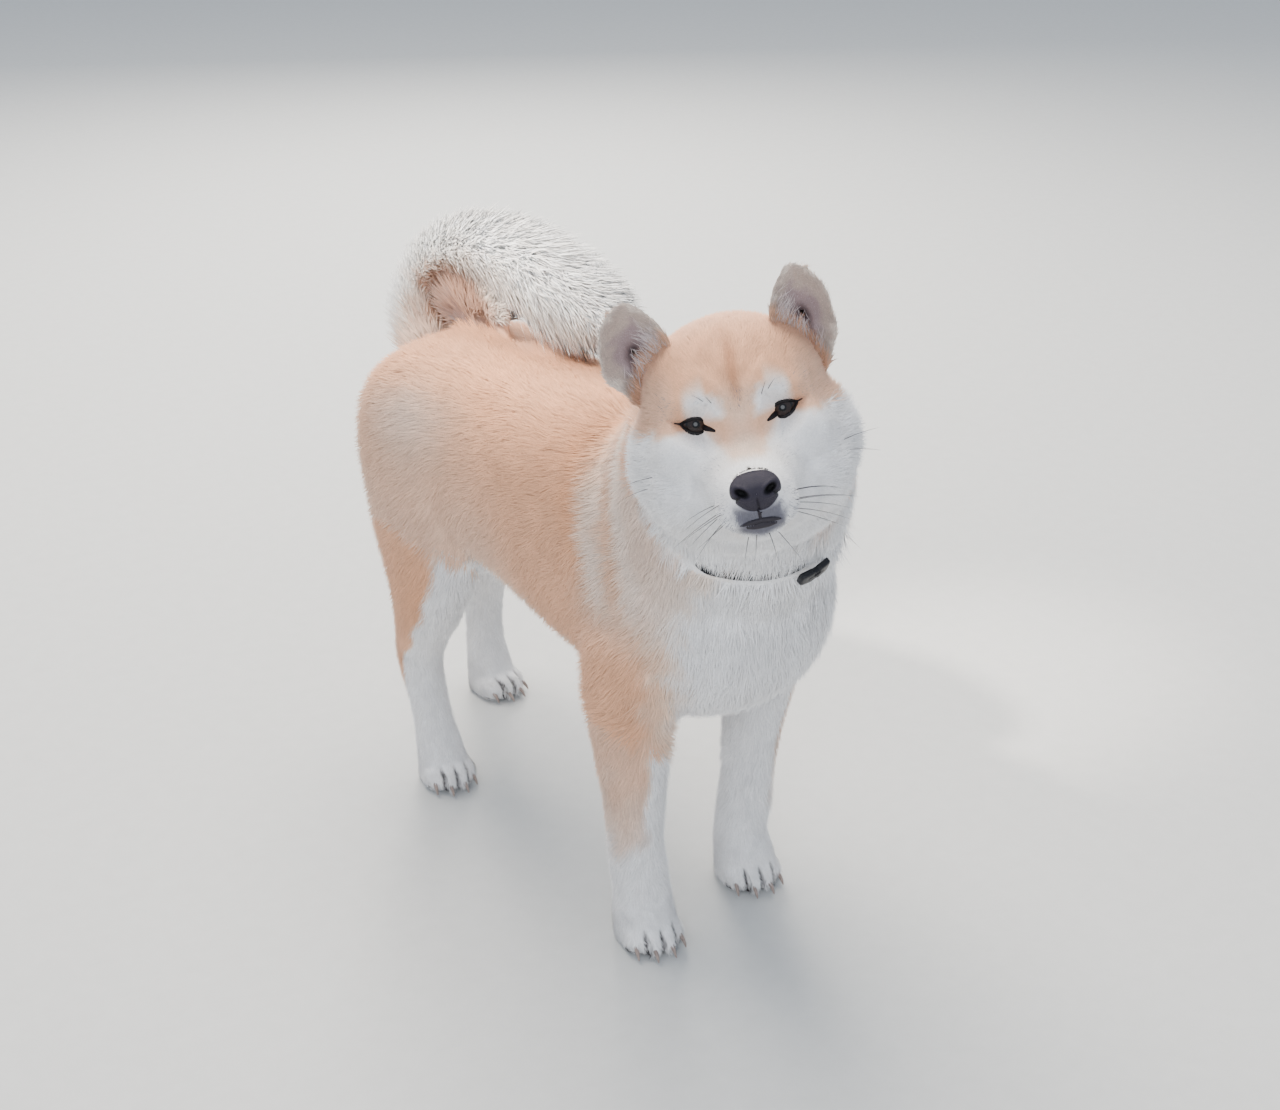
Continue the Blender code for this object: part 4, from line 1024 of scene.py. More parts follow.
def body_markings(points, normals):
    """Colours of trunk and neck."""
    wobble = ripple(points, 0.030, 21) * 0.5 + ripple(points, 0.012, 22) * 0.5
    x, y, z = to_body(points).T
    colour = np.tile(APRICOT, (len(points), 1)).astype(float)
    colour = mix(colour, PALE, 0.75 * hump(y, 0.120, 0.050) * hump(z, 0.352, 0.050))
    colour = mix(colour, PALE, 0.45 * smoothstep(0.35, 0.25, z) * smoothstep(-0.05, 0.06, y))
    colour = mix(colour, ORANGE, 0.28 * hump(y, -0.045, 0.060) * smoothstep(0.27, 0.36, z))
    colour = mix(colour, PALE, 0.85 * smoothstep(-0.085, -0.125, y) * smoothstep(0.24, 0.30, z))
    streak = y + 0.30 * (0.391 - z) + 0.0022 * wobble
    reach = smoothstep(0.26, 0.31, z) * smoothstep(0.020, 0.045, np.abs(x - 0.008))
    for tone, middle, width, strength in SHOULDER_STREAKS:
        colour = mix(colour, tone, strength * hump(streak, middle, width) * reach)
    angle = np.degrees(np.arctan2(np.abs(x - CHEST_AXIS[0]), -(y - CHEST_AXIS[1])))
    edge = table_at(CHEST_WHITE, z) + 3.0 * wobble
    colour = mix(colour, CREAM, 0.75 * smoothstep(edge + 22.0, edge + 2.0, angle))
    colour = mix(colour, WHITE, smoothstep(edge + 9.0, edge - 7.0, angle))
    # Painted warm light: fur that faces up on the back is tinted orange, more towards the rear.
    top = smoothstep(0.30, 0.85, normals[:, 2]) * smoothstep(0.30, 0.36, z)
    colour = mix(colour, ORANGE, (0.26 + 0.34 * smoothstep(0.0, 0.08, y)) * top)
    belly = smoothstep(-0.35, -0.75, normals[:, 2] + 0.06 * wobble) * smoothstep(0.26, 0.23, z)
    return mix(colour, WHITE, belly)


def foreleg_colours(trunk, angle, height, wobble, start):
    """Colours of a foreleg: white in front and inside, red outside, and the trunk's at the top."""
    band = smoothstep(start - 10, start + 12, angle + 4 * wobble) * smoothstep(172.0, 140.0, angle)
    height = height + 0.006 * wobble
    band *= smoothstep(0.066, 0.112, height)
    colour = mix(np.tile(WHITE, (len(angle), 1)), PALE, np.clip(band * 1.3, 0, 1))
    colour = mix(colour, APRICOT, band * smoothstep(0.080, 0.170, height) * 0.62)
    return mix(colour, trunk, smoothstep(0.215, 0.258, height))


def hindleg_colours(angle, height, wobble):
    """Colours of a hind leg: white in front and inside, red outside and behind down to the foot."""
    edge = table_at(HIND_WHITE, height) + 5 * wobble
    red = smoothstep(edge - 6, edge + 10, angle) * (angle > 0)
    red = np.maximum(red, smoothstep(-150, -172, angle)) * smoothstep(0.050, 0.085, height)
    colour = mix(np.tile(WHITE, (len(angle), 1)), APRICOT, red)
    return mix(colour, ORANGE, 0.35 * hump(height, 0.185, 0.030) * red)


def leg_markings(colour, points, owner, names):
    """Puts the legs' colours in place of the trunk's."""
    body = to_body(points)
    wobble = ripple(points, 0.022, 23)
    for word, side in SIDES.items():
        chosen = np.isin(owner, [names.index(part + word) for part in ("foreleg_", "forepaw_")])
        place, waves = body[chosen], wobble[chosen]
        angle = leg_angle(place, "foreleg_" + word, side)
        colour[chosen] = foreleg_colours(colour[chosen], angle, place[:, 2], waves, FORE_RED[word])
        chosen = np.isin(owner, [names.index(part + word) for part in ("thigh_", "shank_", "hindpaw_")])
        place, waves = body[chosen], wobble[chosen]
        colour[chosen] = hindleg_colours(leg_angle(place, "hindleg_" + word, side), place[:, 2], waves)
    return colour


def brow_spots(x, y, z, wobble):
    """How white the spots over the eyes are."""
    (across, up), (long, tall), tilt = BROW_SPOT
    off = np.abs(x) - across
    rise = z - up
    along = (off * math.cos(tilt) + rise * math.sin(tilt)) / long
    over = (rise * math.cos(tilt) - off * math.sin(tilt)) / tall
    return smoothstep(1.65, 0.55, np.hypot(along, over) + 0.14 * wobble) * (y < 0.02)


def forehead_markings(colour, x, y, z):
    """Darker crown and brow line, painted shade in the furrow, and paler temples."""
    colour = mix(colour, ORANGE, 0.10 * smoothstep(0.030, 0.060, z))
    colour = mix(colour, PALE, 0.25 * smoothstep(0.034, 0.046, np.abs(x)) * smoothstep(0.045, 0.020, z))
    # Painted shade: the fur in the forehead's furrow is darkened.
    furrow = hump(x, 0.0006, 0.0040) * smoothstep(0.008, 0.022, z) * smoothstep(0.062, 0.040, z)
    colour = mix(colour, FURROW_SHADE, 0.95 * furrow * (y < 0.03))
    brow_line = hump(np.abs(x), 0.019, 0.016) * hump(z, 0.034, 0.012) * (y < 0.03)
    return mix(colour, ORANGE, 0.14 * brow_line)


def muzzle_markings(colour, x, y, z, wobble):
    """White cheeks and muzzle, cream bridge, and the dusky skin under the nose."""
    edge = table_at(CHEEK_EDGE, np.abs(x)) + 0.0013 * wobble
    soft = np.interp(np.abs(x), [0.0, 0.02, 0.04], [0.0120, 0.0055, 0.0035])
    colour = mix(colour, WHITE, smoothstep(edge + soft, edge - soft, z))
    colour = mix(colour, CREAM, 0.72 * smoothstep(-0.012, -0.026, y) * hump(x, 0.0, 0.016))
    colour = mix(colour, WHITE, smoothstep(-0.034, -0.050, y))
    colour = mix(colour, WHITE, 0.92 * brow_spots(x, y, z, wobble))
    under = smoothstep(0.0195, 0.0110, np.abs(x) + 0.0015 * wobble)
    under *= smoothstep(-0.0655, -0.0600, z - 0.25 * np.abs(x))
    under *= smoothstep(-0.036, -0.045, z) * smoothstep(-0.050, -0.058, y)
    return mix(colour, PIGMENT, 0.88 * under)


def eye_markings(colour, points, x, z):
    """White above and below the lids, and the dark streaks at their corners."""
    offset, _ = nearest_lid(points)
    across = np.abs(x)
    above = smoothstep(0.0075, 0.0035, offset) * smoothstep(0.002, 0.005, z)
    above *= smoothstep(0.037, 0.031, across) * smoothstep(0.017, 0.022, across)
    colour = mix(colour, WHITE, 0.60 * above)
    below = smoothstep(0.0072, 0.0030, offset) * smoothstep(0.001, -0.004, z)
    colour = mix(colour, WHITE, 0.85 * below * smoothstep(0.019, 0.026, across))
    return mix(colour, EYE_LINE, 0.93 * corner_streaks(points))


def head_markings(points):
    """Colours of the head."""
    x, y, z = to_head(points).T
    wobble = ripple(points, 0.011, 31) * 0.6 + ripple(points, 0.005, 32) * 0.4
    colour = forehead_markings(np.tile(APRICOT, (len(points), 1)).astype(float), x, y, z)
    colour = muzzle_markings(colour, x, y, z, wobble)
    colour = eye_markings(colour, points, x, z)
    nape = smoothstep(0.052, 0.078, y + 0.004 * wobble)
    return mix(colour, APRICOT, nape * smoothstep(-0.135, -0.095, z))


def tail_markings(points):
    """White outside and on top, partly as painted light, cream in the middle, brown painted shade about the
    hollow of the curl, and apricot at the root, partly painted shade.
    """
    place, centre, _, _, _ = tail_path.nearest(points)
    out = unit(points - centre)
    body = to_body(points)
    colour = np.tile(CREAM, (len(points), 1)).astype(float)
    # Painted light: the pale coat is made whiter where it faces up and out, where the light from above falls.
    up = out[:, 2] * 0.7 + out[:, 1] * 0.7 * smoothstep(0.16, 0.06, place)
    colour = mix(colour, TAIL_WHITE, smoothstep(-0.6, 0.4, up))
    wobble = ripple(points, 0.015, 33)
    far = np.hypot(body[:, 1] - FAN_AT[1], body[:, 2] - FAN_AT[2]) + 0.0025 * wobble
    # Painted shade: the hair about the hollow of the curl is browned where it faces away from the light, and
    # darker still at the hollow's edge.
    near = smoothstep(0.064, 0.042, far) * smoothstep(0.95, 0.30, up)
    colour = mix(colour, HOLLOW_SHADE, 0.95 * near)
    colour = mix(colour, BROWN_SHADE, 0.9 * smoothstep(0.030, 0.016, far))
    # The body's apricot runs onto the root, partly as painted shade where the tail rises from the rump.
    root = smoothstep(0.075, 0.030, place)
    colour = mix(colour, APRICOT, 0.60 * root * (1 - near))
    return colour


def markings(points, normals, owner, names):
    """The coat's colour at each point."""
    colour = body_markings(points, normals)
    colour = leg_markings(colour, points, owner, names)
    is_head = (owner == names.index("head")).astype(float)
    head = head_markings(points)
    place = to_head(points)
    back = smoothstep(0.105, 0.075, place[:, 1])
    reach = np.where(is_head > 0, 1.0, smoothstep(0.070, 0.055, place[:, 1]) * (place[:, 2] > -0.11))
    colour = mix(colour, head, np.clip(reach, 0, 1) * np.maximum(back, 0.0))
    tail = np.isin(owner, [names.index(name) for name in TAIL_NODES])
    colour[tail] = tail_markings(points[tail])
    # Painted shade: the fur in the slits between the toes is darkened.
    colour = mix(colour, TOE_SLIT_SHADE, np.clip(slits(points), 0, 0.85))
    return eye_colour(np.clip(colour, 0, 1))


def hair_ways(skin):
    """The way of the hair at each point of the skin, evened out and swaying gently."""
    ways = into_surface(region_way(skin.points, skin.owner, skin.names), skin.normals)
    for _ in range(4):
        ways = into_surface(spread(ways, skin.edges, FIELD_PASSES // 4), skin.normals)
    sway = ripple(skin.points, 0.030, 41) * 0.16 + ripple(skin.points, 0.012, 42) * 0.12
    return unit(ways + np.cross(skin.normals, ways) * sway[:, None])


def build_skin():
    """The skin with all fields that the coat needs."""
    obj = melted_flesh()
    refine(obj)
    mesh = obj.data
    skin = Surface(points_of(mesh), triangles_of(mesh), edges_of(mesh))
    skin.even_out(2)
    skin.names = FLESH + TAIL_NODES
    skin.owner = nearest_nodes(skin.points, skin.names)
    skin.numbers = coat_numbers(skin)
    for _ in range(SHRINK_STEPS):
        skin.move(-skin.normals * skin.numbers[:, :1] / SHRINK_STEPS)
        skin.even_out(1)
    skin.points[:, 2] += np.maximum(GROUND_GAP - to_body(skin.points)[:, 2], 0.0)
    raise_withers(skin)
    sculpt_face(skin)
    sculpt_toes(skin)
    skin.ways = hair_ways(skin)
    skin.colours = markings(skin.points, skin.normals, skin.owner, skin.names)
    skin.plan = unwrap(skin)
    mesh.vertices.foreach_set("co", skin.points.astype(np.float32).ravel())
    mesh.update()
    mesh.shade_smooth()
    add_colours(mesh, skin.colours * SKIN_SHADE)
    return obj, skin


def add_colours(mesh, colours):
    """Stores linear colours at the points of a mesh."""
    layer = mesh.color_attributes.new("coat", "FLOAT_COLOR", "POINT")
    full = np.ones((len(colours), 4), dtype=np.float32)
    full[:, :3] = colours
    layer.data.foreach_set("color", full.ravel())


class Roots:
    """Places where tufts grow, with all that shapes them, as arrays with a row for each."""

    def __init__(self, **fields):
        self.__dict__.update(fields)

    def chosen(self, mask):
        return Roots(**{name: rows[mask] for name, rows in vars(self).items()})


def scatter(skin):
    """Spreads tuft roots over the skin by the density of the coat."""
    corners = skin.points[skin.faces]
    across = np.cross(corners[:, 1] - corners[:, 0], corners[:, 2] - corners[:, 0])
    area = np.linalg.norm(across, axis=1) / 2
    density = skin.numbers[:, 3][skin.faces].mean(axis=1) * TUFTS_TO_METRE
    weight = np.cumsum(area * density)
    count = int(weight[-1])
    picks = (np.arange(count) + DRAW.uniform(0, 1, count)) * (weight[-1] / count)
    face = np.minimum(np.searchsorted(weight, picks), len(area) - 1)
    first, second = np.sort(DRAW.uniform(0, 1, (2, count)), axis=0)
    shares = np.stack([first, second - first, 1 - second], axis=1)

    def between(values):
        return np.einsum("nk,nk...->n...", shares, values[skin.faces[face]])

    corner = skin.faces[face, 0]
    return Roots(
        places=between(skin.points),
        normals=unit(between(skin.normals)),
        ways=unit(between(skin.ways)),
        lengths=between(skin.numbers)[:, 1],
        widths=between(skin.numbers)[:, 2],
        colours=between(skin.colours),
        owner=skin.owner[corner],
        plan=skin.plan[corner],
    )


def unroll(points, name):
    """For points of one part: the turn about its axis and the place along it."""
    place = to_body(points)
    kind = name.split("_")[0]
    if kind == "torso":
        return np.arctan2(place[:, 0] - 0.004, place[:, 2] - 0.295), place[:, 1]
    if kind == "head":
        local = to_head(points)
        return np.arctan2(local[:, 0], local[:, 2] + 0.030), local[:, 1]
    if kind == "tail":
        along, centre, ahead, _, _ = tail_path.nearest(points)
        off = points - centre
        side = unit(np.cross(ahead, (1.0, 0.0, 0.0)))
        return np.arctan2(off[:, 0], np.sum(off * side, axis=1)), along
    middle = place.mean(axis=0)
    return np.arctan2(place[:, 0] - middle[0], place[:, 1] - middle[1]), place[:, 2]


def unwrap(skin):
    """The skin unrolled about the axis of each part, as places between 0 and 1."""
    plan = np.zeros((len(skin.points), 2))
    for index, name in enumerate(skin.names):
        chosen = skin.owner == index
        turn, along = unroll(skin.points[chosen], name)
        low, high = along.min(), along.max()
        plan[chosen, 0] = 0.5 + turn / (2 * math.pi)
        plan[chosen, 1] = (along - low) / (high - low)
    return 0.004 + plan * 0.992


def tuft_faces(segments):
    """Triangles of one tuft: three sides, closed at the root and pointed at the tip."""
    pattern = []
    for segment in range(segments):
        base = segment * 3
        for corner in range(3):
            beside = (corner + 1) % 3
            if segment < segments - 1:
                pattern.append((base + corner, base + beside, base + 3 + corner))
                pattern.append((base + beside, base + 3 + beside, base + 3 + corner))
            else:
                pattern.append((base + corner, base + beside, base + 3))
    pattern.append((0, 2, 1))
    return np.array(pattern)


def tuft_steps(roots, segments, lift, droop, sunk, wild):
    """Steps from root to tip: share of the length, middle, way to the side, way up, half width."""
    count = len(roots.places)
    lengths = (roots.lengths * DRAW.uniform(*TUFT_LENGTHS, count))[:, None]
    widths = (roots.widths * DRAW.uniform(*TUFT_WIDTHS, count))[:, None]
    side = unit(np.cross(roots.ways, roots.normals))
    ways = unit(roots.ways + side * DRAW.normal(0, wild, count)[:, None])
    side = unit(np.cross(ways, roots.normals))
    rise = (np.asarray(lift) * DRAW.uniform(*TUFT_RISES, count))[:, None]
    curl = DRAW.normal(0, TUFT_CURL, count)[:, None]
    for index in range(segments + 1):
        step = index / segments
        height = np.sin(rise) * (step - droop * step * step * 0.6)
        along = np.cos(rise * (1 - 0.6 * step)) * step
        middle = (
            roots.places - roots.normals * sunk * (1 - step) + ways * (lengths * along)
            + roots.normals * (lengths * height) + side * (lengths * curl * step * step)
        )
        tilt = rise * (1 - droop * step)
        up = roots.normals * np.cos(tilt) - ways * np.sin(tilt)
        half = widths * (0.42 + 0.16 * math.sin(math.pi * min(step * 1.2, 1.0)))
        yield step, middle, side, up, half


def tufts(name, roots, segments, lift, droop=0.5, sunk=0.0012, wild=0.14, soft=0.6, root_shade=0.92,
          round_to=None):
    """Closed three-sided tufts that rise from their roots at the given lift and bend along the surface.

    Tufts that lie flat are shaded mostly as the surface under them. Steep ones are shaded as round hairs that
    lean to the directions in round_to.
    """
    points, normals, shades, plan = [], [], [], []
    for step, middle, side, up, half in tuft_steps(roots, segments, lift, droop, sunk, wild):
        lean = up * (1 - soft) + roots.normals * soft
        shade = root_shade + (TIP_SHADE - root_shade) * min(1.0, step * 1.4)
        if step == 1.0:
            points.append(middle)
            normals.append(lean)
            shades.append(shade)
            plan.append((0.0, step))
            continue
        points += [middle - side * half, middle + roots.normals * half * RIDGE * 2, middle + side * half]
        shades += [shade] * 3
        plan += [(-1.0, step), (0.0, step), (1.0, step)]
        if round_to is None:
            normals += [lean - side * 0.6, lean, lean + side * 0.6]
        else:
            ring = [-side * 0.87 - up * 0.5, up, side * 0.87 - up * 0.5]
            normals += [way * (1 - soft) + round_to * soft for way in ring]
    count = len(roots.places)
    tones = DRAW.normal(1.0, TUFT_TONES, count)[:, None, None]
    colours = roots.colours[:, None, :] * np.array(shades)[:, None] * tones
    patch = np.array(plan) * np.array(PATCH) + roots.plan[:, None, :]
    faces = (tuft_faces(segments) + (np.arange(count) * len(points))[:, None, None]).reshape(-1, 3)
    obj = mesh_object(name, np.stack(points, axis=1).reshape(-1, 3), faces)
    obj.data.shade_smooth()
    add_colours(obj.data, np.clip(colours, 0, 1).reshape(-1, 3))
    layer = obj.data.uv_layers.new(name="OFBake")
    patch = np.clip(patch, 0, 1).reshape(-1, 2)[faces.ravel()]
    layer.data.foreach_set("uv", patch.astype(np.float32).ravel())
    shading = unit(np.stack(normals, axis=1).reshape(-1, 3))
    obj.data.normals_split_custom_set_from_vertices(shading.astype(np.float32))
    return obj


def ride(obj, slot, material, *nodes):
    """Gives a piece its material, and puts it on the body in place of nodes. The slot is not used."""
    obj.data.materials.clear()
    obj.data.materials.append(material)
    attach(obj, "root")
    if nodes:
        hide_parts(*nodes)
    return obj


class Nodes:
    """A short way to build a material's nodes."""

    def __init__(self, name):
        self.material = bpy.data.materials.new(name)
        self.material.use_nodes = True
        self.tree = self.material.node_tree
        self.shader = self.tree.nodes["Principled BSDF"]

    def add(self, kind, **settings):
        node = self.tree.nodes.new("ShaderNode" + kind)
        for key, value in settings.items():
            setattr(node, key, value)
        return node

    def join(self, source, target):
        self.tree.links.new(source, target)

    def noise(self, scale, detail=3.0, roughness=0.5, vector=None):
        node = self.add("TexNoise")
        node.inputs["Scale"].default_value = scale
        node.inputs["Detail"].default_value = detail
        node.inputs["Roughness"].default_value = roughness
        if vector is not None:
            self.join(vector, node.inputs["Vector"])
        return node

    def place(self):
        return self.add("TexCoord").outputs["Object"]

    def span(self, source, low, high, out_low, out_high):
        node = self.add("MapRange")
        settings = {"From Min": low, "From Max": high, "To Min": out_low, "To Max": out_high}
        for key, value in settings.items():
            node.inputs[key].default_value = value
        self.join(source, node.inputs["Value"])
        return node.outputs["Result"]

    def bump(self, height, strength, distance):
        node = self.add("Bump")
        node.inputs["Strength"].default_value = strength
        node.inputs["Distance"].default_value = distance
        self.join(height, node.inputs["Height"])
        self.join(node.outputs["Normal"], self.shader.inputs["Normal"])
        return node

    def paint(self):
        """Takes the colour from the mesh's own colours."""
        colour = self.add("Attribute", attribute_name="coat").outputs["Color"]
        self.join(colour, self.shader.inputs["Base Color"])

    def tones(self, grain, low, high):
        """Colours between low and high by the noise."""
        ramp = self.add("ValToRGB")
        ramp.color_ramp.elements[0].color = (*low, 1.0)
        ramp.color_ramp.elements[1].color = (*high, 1.0)
        self.join(grain.outputs["Fac"], ramp.inputs["Fac"])
        self.join(ramp.outputs["Color"], self.shader.inputs["Base Color"])

    def set(self, **values):
        """Sets inputs of the shader, with _ for the spaces of their names."""
        for key, value in values.items():
            self.shader.inputs[key.replace("_", " ")].default_value = value


def mottled(name, scale, detail, low, high):
    """A material's nodes with the mesh's own colours, varied by a fine noise, and that noise."""
    nodes = Nodes(name)
    colour = nodes.add("Attribute", attribute_name="coat").outputs["Color"]
    grain = nodes.noise(scale, detail, 0.6, nodes.place())
    light = nodes.span(grain.outputs["Fac"], 0.3, 0.7, low, high)
    shaded = nodes.add("VectorMath", operation="SCALE")
    nodes.join(colour, shaded.inputs[0])
    nodes.join(light, shaded.inputs["Scale"])
    nodes.join(shaded.outputs["Vector"], nodes.shader.inputs["Base Color"])
    return nodes, grain


def coat_material(name):
    """Hair: the markings, varied by a fine noise."""
    nodes, _ = mottled(name, 900.0, 2.0, 0.90, 1.08)
    sheen = TAIL_SHEEN if name == "tail_coat" else SHEEN
    nodes.set(Roughness=0.72, Sheen_Weight=sheen, Sheen_Roughness=0.5, Specular_IOR_Level=0.25)
    return nodes.material


def skin_material():
    """Bare skin under the hair, grainy and dull."""
    nodes, grain = mottled("skin", 700.0, 4.0, 0.85, 1.05)
    nodes.set(Roughness=0.85)
    nodes.bump(grain.outputs["Fac"], 0.5, 0.0006)
    return nodes.material


def plain_material(name, colour, roughness, scale=600.0, strength=0.2, coat=0.0):
    """One colour with a grain in tone, roughness and height."""
    nodes = Nodes(name)
    grain = nodes.noise(scale, 4.0, 0.6, nodes.place())
    colour = np.array(colour)
    nodes.tones(grain, eye_colour(colour * 0.75), eye_colour(np.minimum(colour * 1.25, 1.0)))
    rough = nodes.span(grain.outputs["Fac"], 0.3, 0.7, roughness * 0.85, min(1.0, roughness * 1.2))
    nodes.join(rough, nodes.shader.inputs["Roughness"])
    nodes.set(Specular_IOR_Level=0.2, Coat_Weight=coat, Coat_Roughness=0.08)
    nodes.bump(grain.outputs["Fac"], strength, 0.0004)
    return nodes.material


def kept_roots(roots):
    """Roots clear of eyes, nose, lips, strap, the slits between the toes, the ground and the end of the
    curl's skin.
    """
    offset, corner = nearest_lid(roots.places)
    head = to_head(roots.places)
    body = to_body(roots.places)
    on_nose = (around_nose(head) < 1.0) & (head[:, 1] < -0.062)
    across, front = about_collar(roots.places)
    under_strap = (across > STRAP_BARE[0]) & (across < STRAP_BARE[1]) & (front > STRAP_OPEN)
    off = (body - np.array(CURL_AT)) / np.array(CURL_SIZE)
    on_curl_end = (np.linalg.norm(off, axis=1) < 1.15) & (off[:, 1] < -0.70)
    keep = (offset > LID_CLEAR + LID_CLEAR_CORNER * corner) & (corner_streaks(roots.places) < 0.4)
    keep &= (slits(roots.places) < 0.35) & (lip_distance(head) > 0.0) & (body[:, 2] > SOLE_CLEAR)
    keep &= ~on_nose & ~under_strap & ~on_curl_end
    return roots.chosen(keep)


def about_collar(points):
    """How far points lie above the middle of the strap, and how near they are to its open front."""
    normal = np.array(COLLAR_NORMAL)
    off = points - np.array(COLLAR_AT + SHIFT)
    across = off @ normal
    flat = unit(off - across[:, None] * normal)
    near = np.linalg.norm(off, axis=1) < NECK_REACH
    return across, smoothstep(*STRAP_SHOWS, flat @ np.array(strap_front(STRAP_TURN))) * near


def strap_front(turn):
    """The way from the neck's middle to the buckle, turned about the neck."""
    away = box_middle("collar_buckle") - COLLAR_AT - SHIFT
    away = (away - COLLAR_NORMAL * away.dot(COLLAR_NORMAL)).normalized()
    return Matrix.Rotation(turn, 3, COLLAR_NORMAL) @ away


def lip_distance(head):
    """How far points in the head's frame are from the bare skin of the lips."""
    line = curve_through(MOUTH_LINE, 6)
    across = np.abs(head[:, 0])
    low = np.interp(across, line[:, 0], line[:, 2])
    front = np.interp(across, line[:, 0], line[:, 1])
    deep = np.maximum(np.abs(head[:, 1] - front) - 0.008, 0.0)
    gap = np.hypot(head[:, 2] - low, deep) - table_at(BARE_LIP, across)
    gap = np.where(across < BARE_LIP[-1][0], gap, 1.0)
    in_groove = (head[:, 1] < -0.066) & (head[:, 2] > -0.055) & (head[:, 2] < -0.040)
    return np.where(in_groove, np.minimum(gap, across - GROOVE_RADII[0]), gap)


def dark_share(head):
    """The share of dark tufts on the muzzle, the brows, the whiskers' pads and under the eyes."""
    x, y, z = head.T
    muzzle = smoothstep(-0.028, -0.045, y) * smoothstep(-0.026, -0.036, z)
    brows = smoothstep(0.010, 0.004, np.abs(z - 0.013)) * (y < 0.010)
    pads = hump(np.abs(x), 0.018, 0.008) * smoothstep(-0.060, -0.050, z)
    pads *= smoothstep(-0.030, -0.040, z) * smoothstep(-0.048, -0.056, y)
    under_eye = np.hypot((np.abs(x) - 0.024) / 0.008, (z + 0.019) / 0.009) < 1.0
    return 0.006 * muzzle + 0.07 * brows + 0.20 * pads + 0.05 * under_eye


def recolour(skin, roots):
    """Colours the tufts by where their visible ends lie, with a ripple of light and dark."""
    tail = np.isin(roots.owner, [skin.names.index(name) for name in TAIL_NODES])
    rise = roots.lengths * np.where(tail, 0.40, 0.15)
    seen = roots.places + roots.ways * (roots.lengths * 0.62)[:, None] + roots.normals * rise[:, None]
    waves = 1 + 0.035 * ripple(roots.places, 0.009, 51) + 0.025 * ripple(roots.places, 0.022, 52)
    roots.colours = markings(seen, roots.normals, roots.owner, skin.names) * waves[:, None]
    is_head = roots.owner == skin.names.index("head")
    dark = is_head & (DRAW.uniform(0, 1, len(seen)) < dark_share(to_head(roots.places)))
    roots.colours[dark] = eye_colour(SPECKLE)


def comb_by_strap(roots):
    """Shortens the hair that would hang over the strap, and lays that under it flatter; gives the lift."""
    across, front = about_collar(roots.places)
    above = (across > 0) & (across < STRAP_HAIR) & (front > STRAP_OPEN)
    ends = np.maximum(across + 0.0026, 0.0040) / 0.93
    roots.lengths = np.where(above, np.minimum(roots.lengths, ends), roots.lengths)
    below = smoothstep(-0.016, -0.005, across) * (across < 0) * front
    return LIFT * (1 - 0.5 * below)


def add_coat(skin):
    """Tufts over the whole skin, in a piece or more for each part of the body."""
    roots = kept_roots(scatter(skin))
    recolour(skin, roots)
    materials = {slot: coat_material(slot) for slot in sorted(set(SLOTS.values()))}
    for index, node in enumerate(skin.names):
        mine = roots.chosen(roots.owner == index)
        kind = node.split("_")[0]
        parts = PIECES.get(kind, 1)
        for part in range(parts):
            piece = mine.chosen(np.arange(len(mine.places)) % parts == part)
            name = f"coat_{node}_{part + 1}" if parts > 1 else f"coat_{node}"
            obj = tail_tufts(name, piece) if kind == "tail" else tufts(name, piece, 1, comb_by_strap(piece))
            ride(obj, SLOTS[kind], materials[SLOTS[kind]], node)


def tail_tufts(name, roots):
    """Long hair that fans out from the tail, and from the hollow of its curl."""
    _, centre, along, core, reach = tail_path.nearest(roots.places)
    inner = in_curl(roots.places)
    roots.normals = np.where(inner[:, None], roots.normals, unit(roots.places - centre))
    roots.ways = np.where(inner[:, None], roots.ways, into_surface(along, roots.normals))
    place = to_body(roots.places)[:, 1]
    under = smoothstep(0.2, -0.6, roots.normals[:, 2]) * hump(place, 0.095, 0.045) * ~inner
    roots.lengths = np.where(inner, TAIL_HAIR_INSIDE, (reach - core) * (1.75 + 0.60 * under))
    lift = np.where(inner, 0.45, 0.58)
    open_to = unit(roots.normals + np.array([0.0, 0.0, 0.8]))
    return tufts(name, roots, 2, lift, droop=0.22, wild=0.20, soft=0.82, root_shade=0.98, round_to=open_to)


def eyeball_colours(away, turn):
    """Colours at a distance from the eyeball's axis: pupil, streaked iris, its dark rim, and the white."""
    streaks = 0.5 + 0.5 * np.sin(turn * 29 + 2.0 * np.sin(turn * 7)) * np.sin(away * 1900)
    colour = mix(np.tile(IRIS, (len(away), 1)), IRIS_STREAK, 0.6 * streaks)
    colour = mix(colour, PUPIL, smoothstep(PUPIL_RADIUS * 1.12, PUPIL_RADIUS * 0.92, away))
    colour = mix(colour, IRIS_RIM, smoothstep(IRIS_RADIUS * 0.84, IRIS_RADIUS * 0.98, away))
    return mix(colour, EYE_WHITE, smoothstep(IRIS_RADIUS * 1.02, IRIS_RADIUS * 1.22, away))


def add_eyes():
    """Eyeballs with a raised cornea, dark brown iris and black pupil."""
    nodes = Nodes("eye")
    nodes.paint()
    nodes.set(Roughness=0.05, IOR=1.38)
    rows, columns = 64, 72
    angle, turn = ball_grid(rows, columns, 0.004)
    radius = EYE_RADIUS - 0.0003 + 0.0007 * hump(angle, 0.0, 0.50)
    away = np.where(angle > math.pi / 2, 1.0, EYE_RADIUS * np.sin(angle))
    colours = eye_colour(eyeball_colours(away, turn))
    ball = ball_ways(angle, turn) * radius[:, None]
    faces = grid_faces(rows, columns)
    for word, side in SIDES.items():
        points = placed(ball, eye_pose(side) @ Matrix.Rotation(-GAZE_UP, 4, "X"))
        obj = mesh_object("eyeball_" + word, points, faces if side < 0 else faces[:, ::-1])
        obj.data.shade_smooth()
        add_colours(obj.data, colours)
        ride(obj, "eye", nodes.material, "eye_" + word)


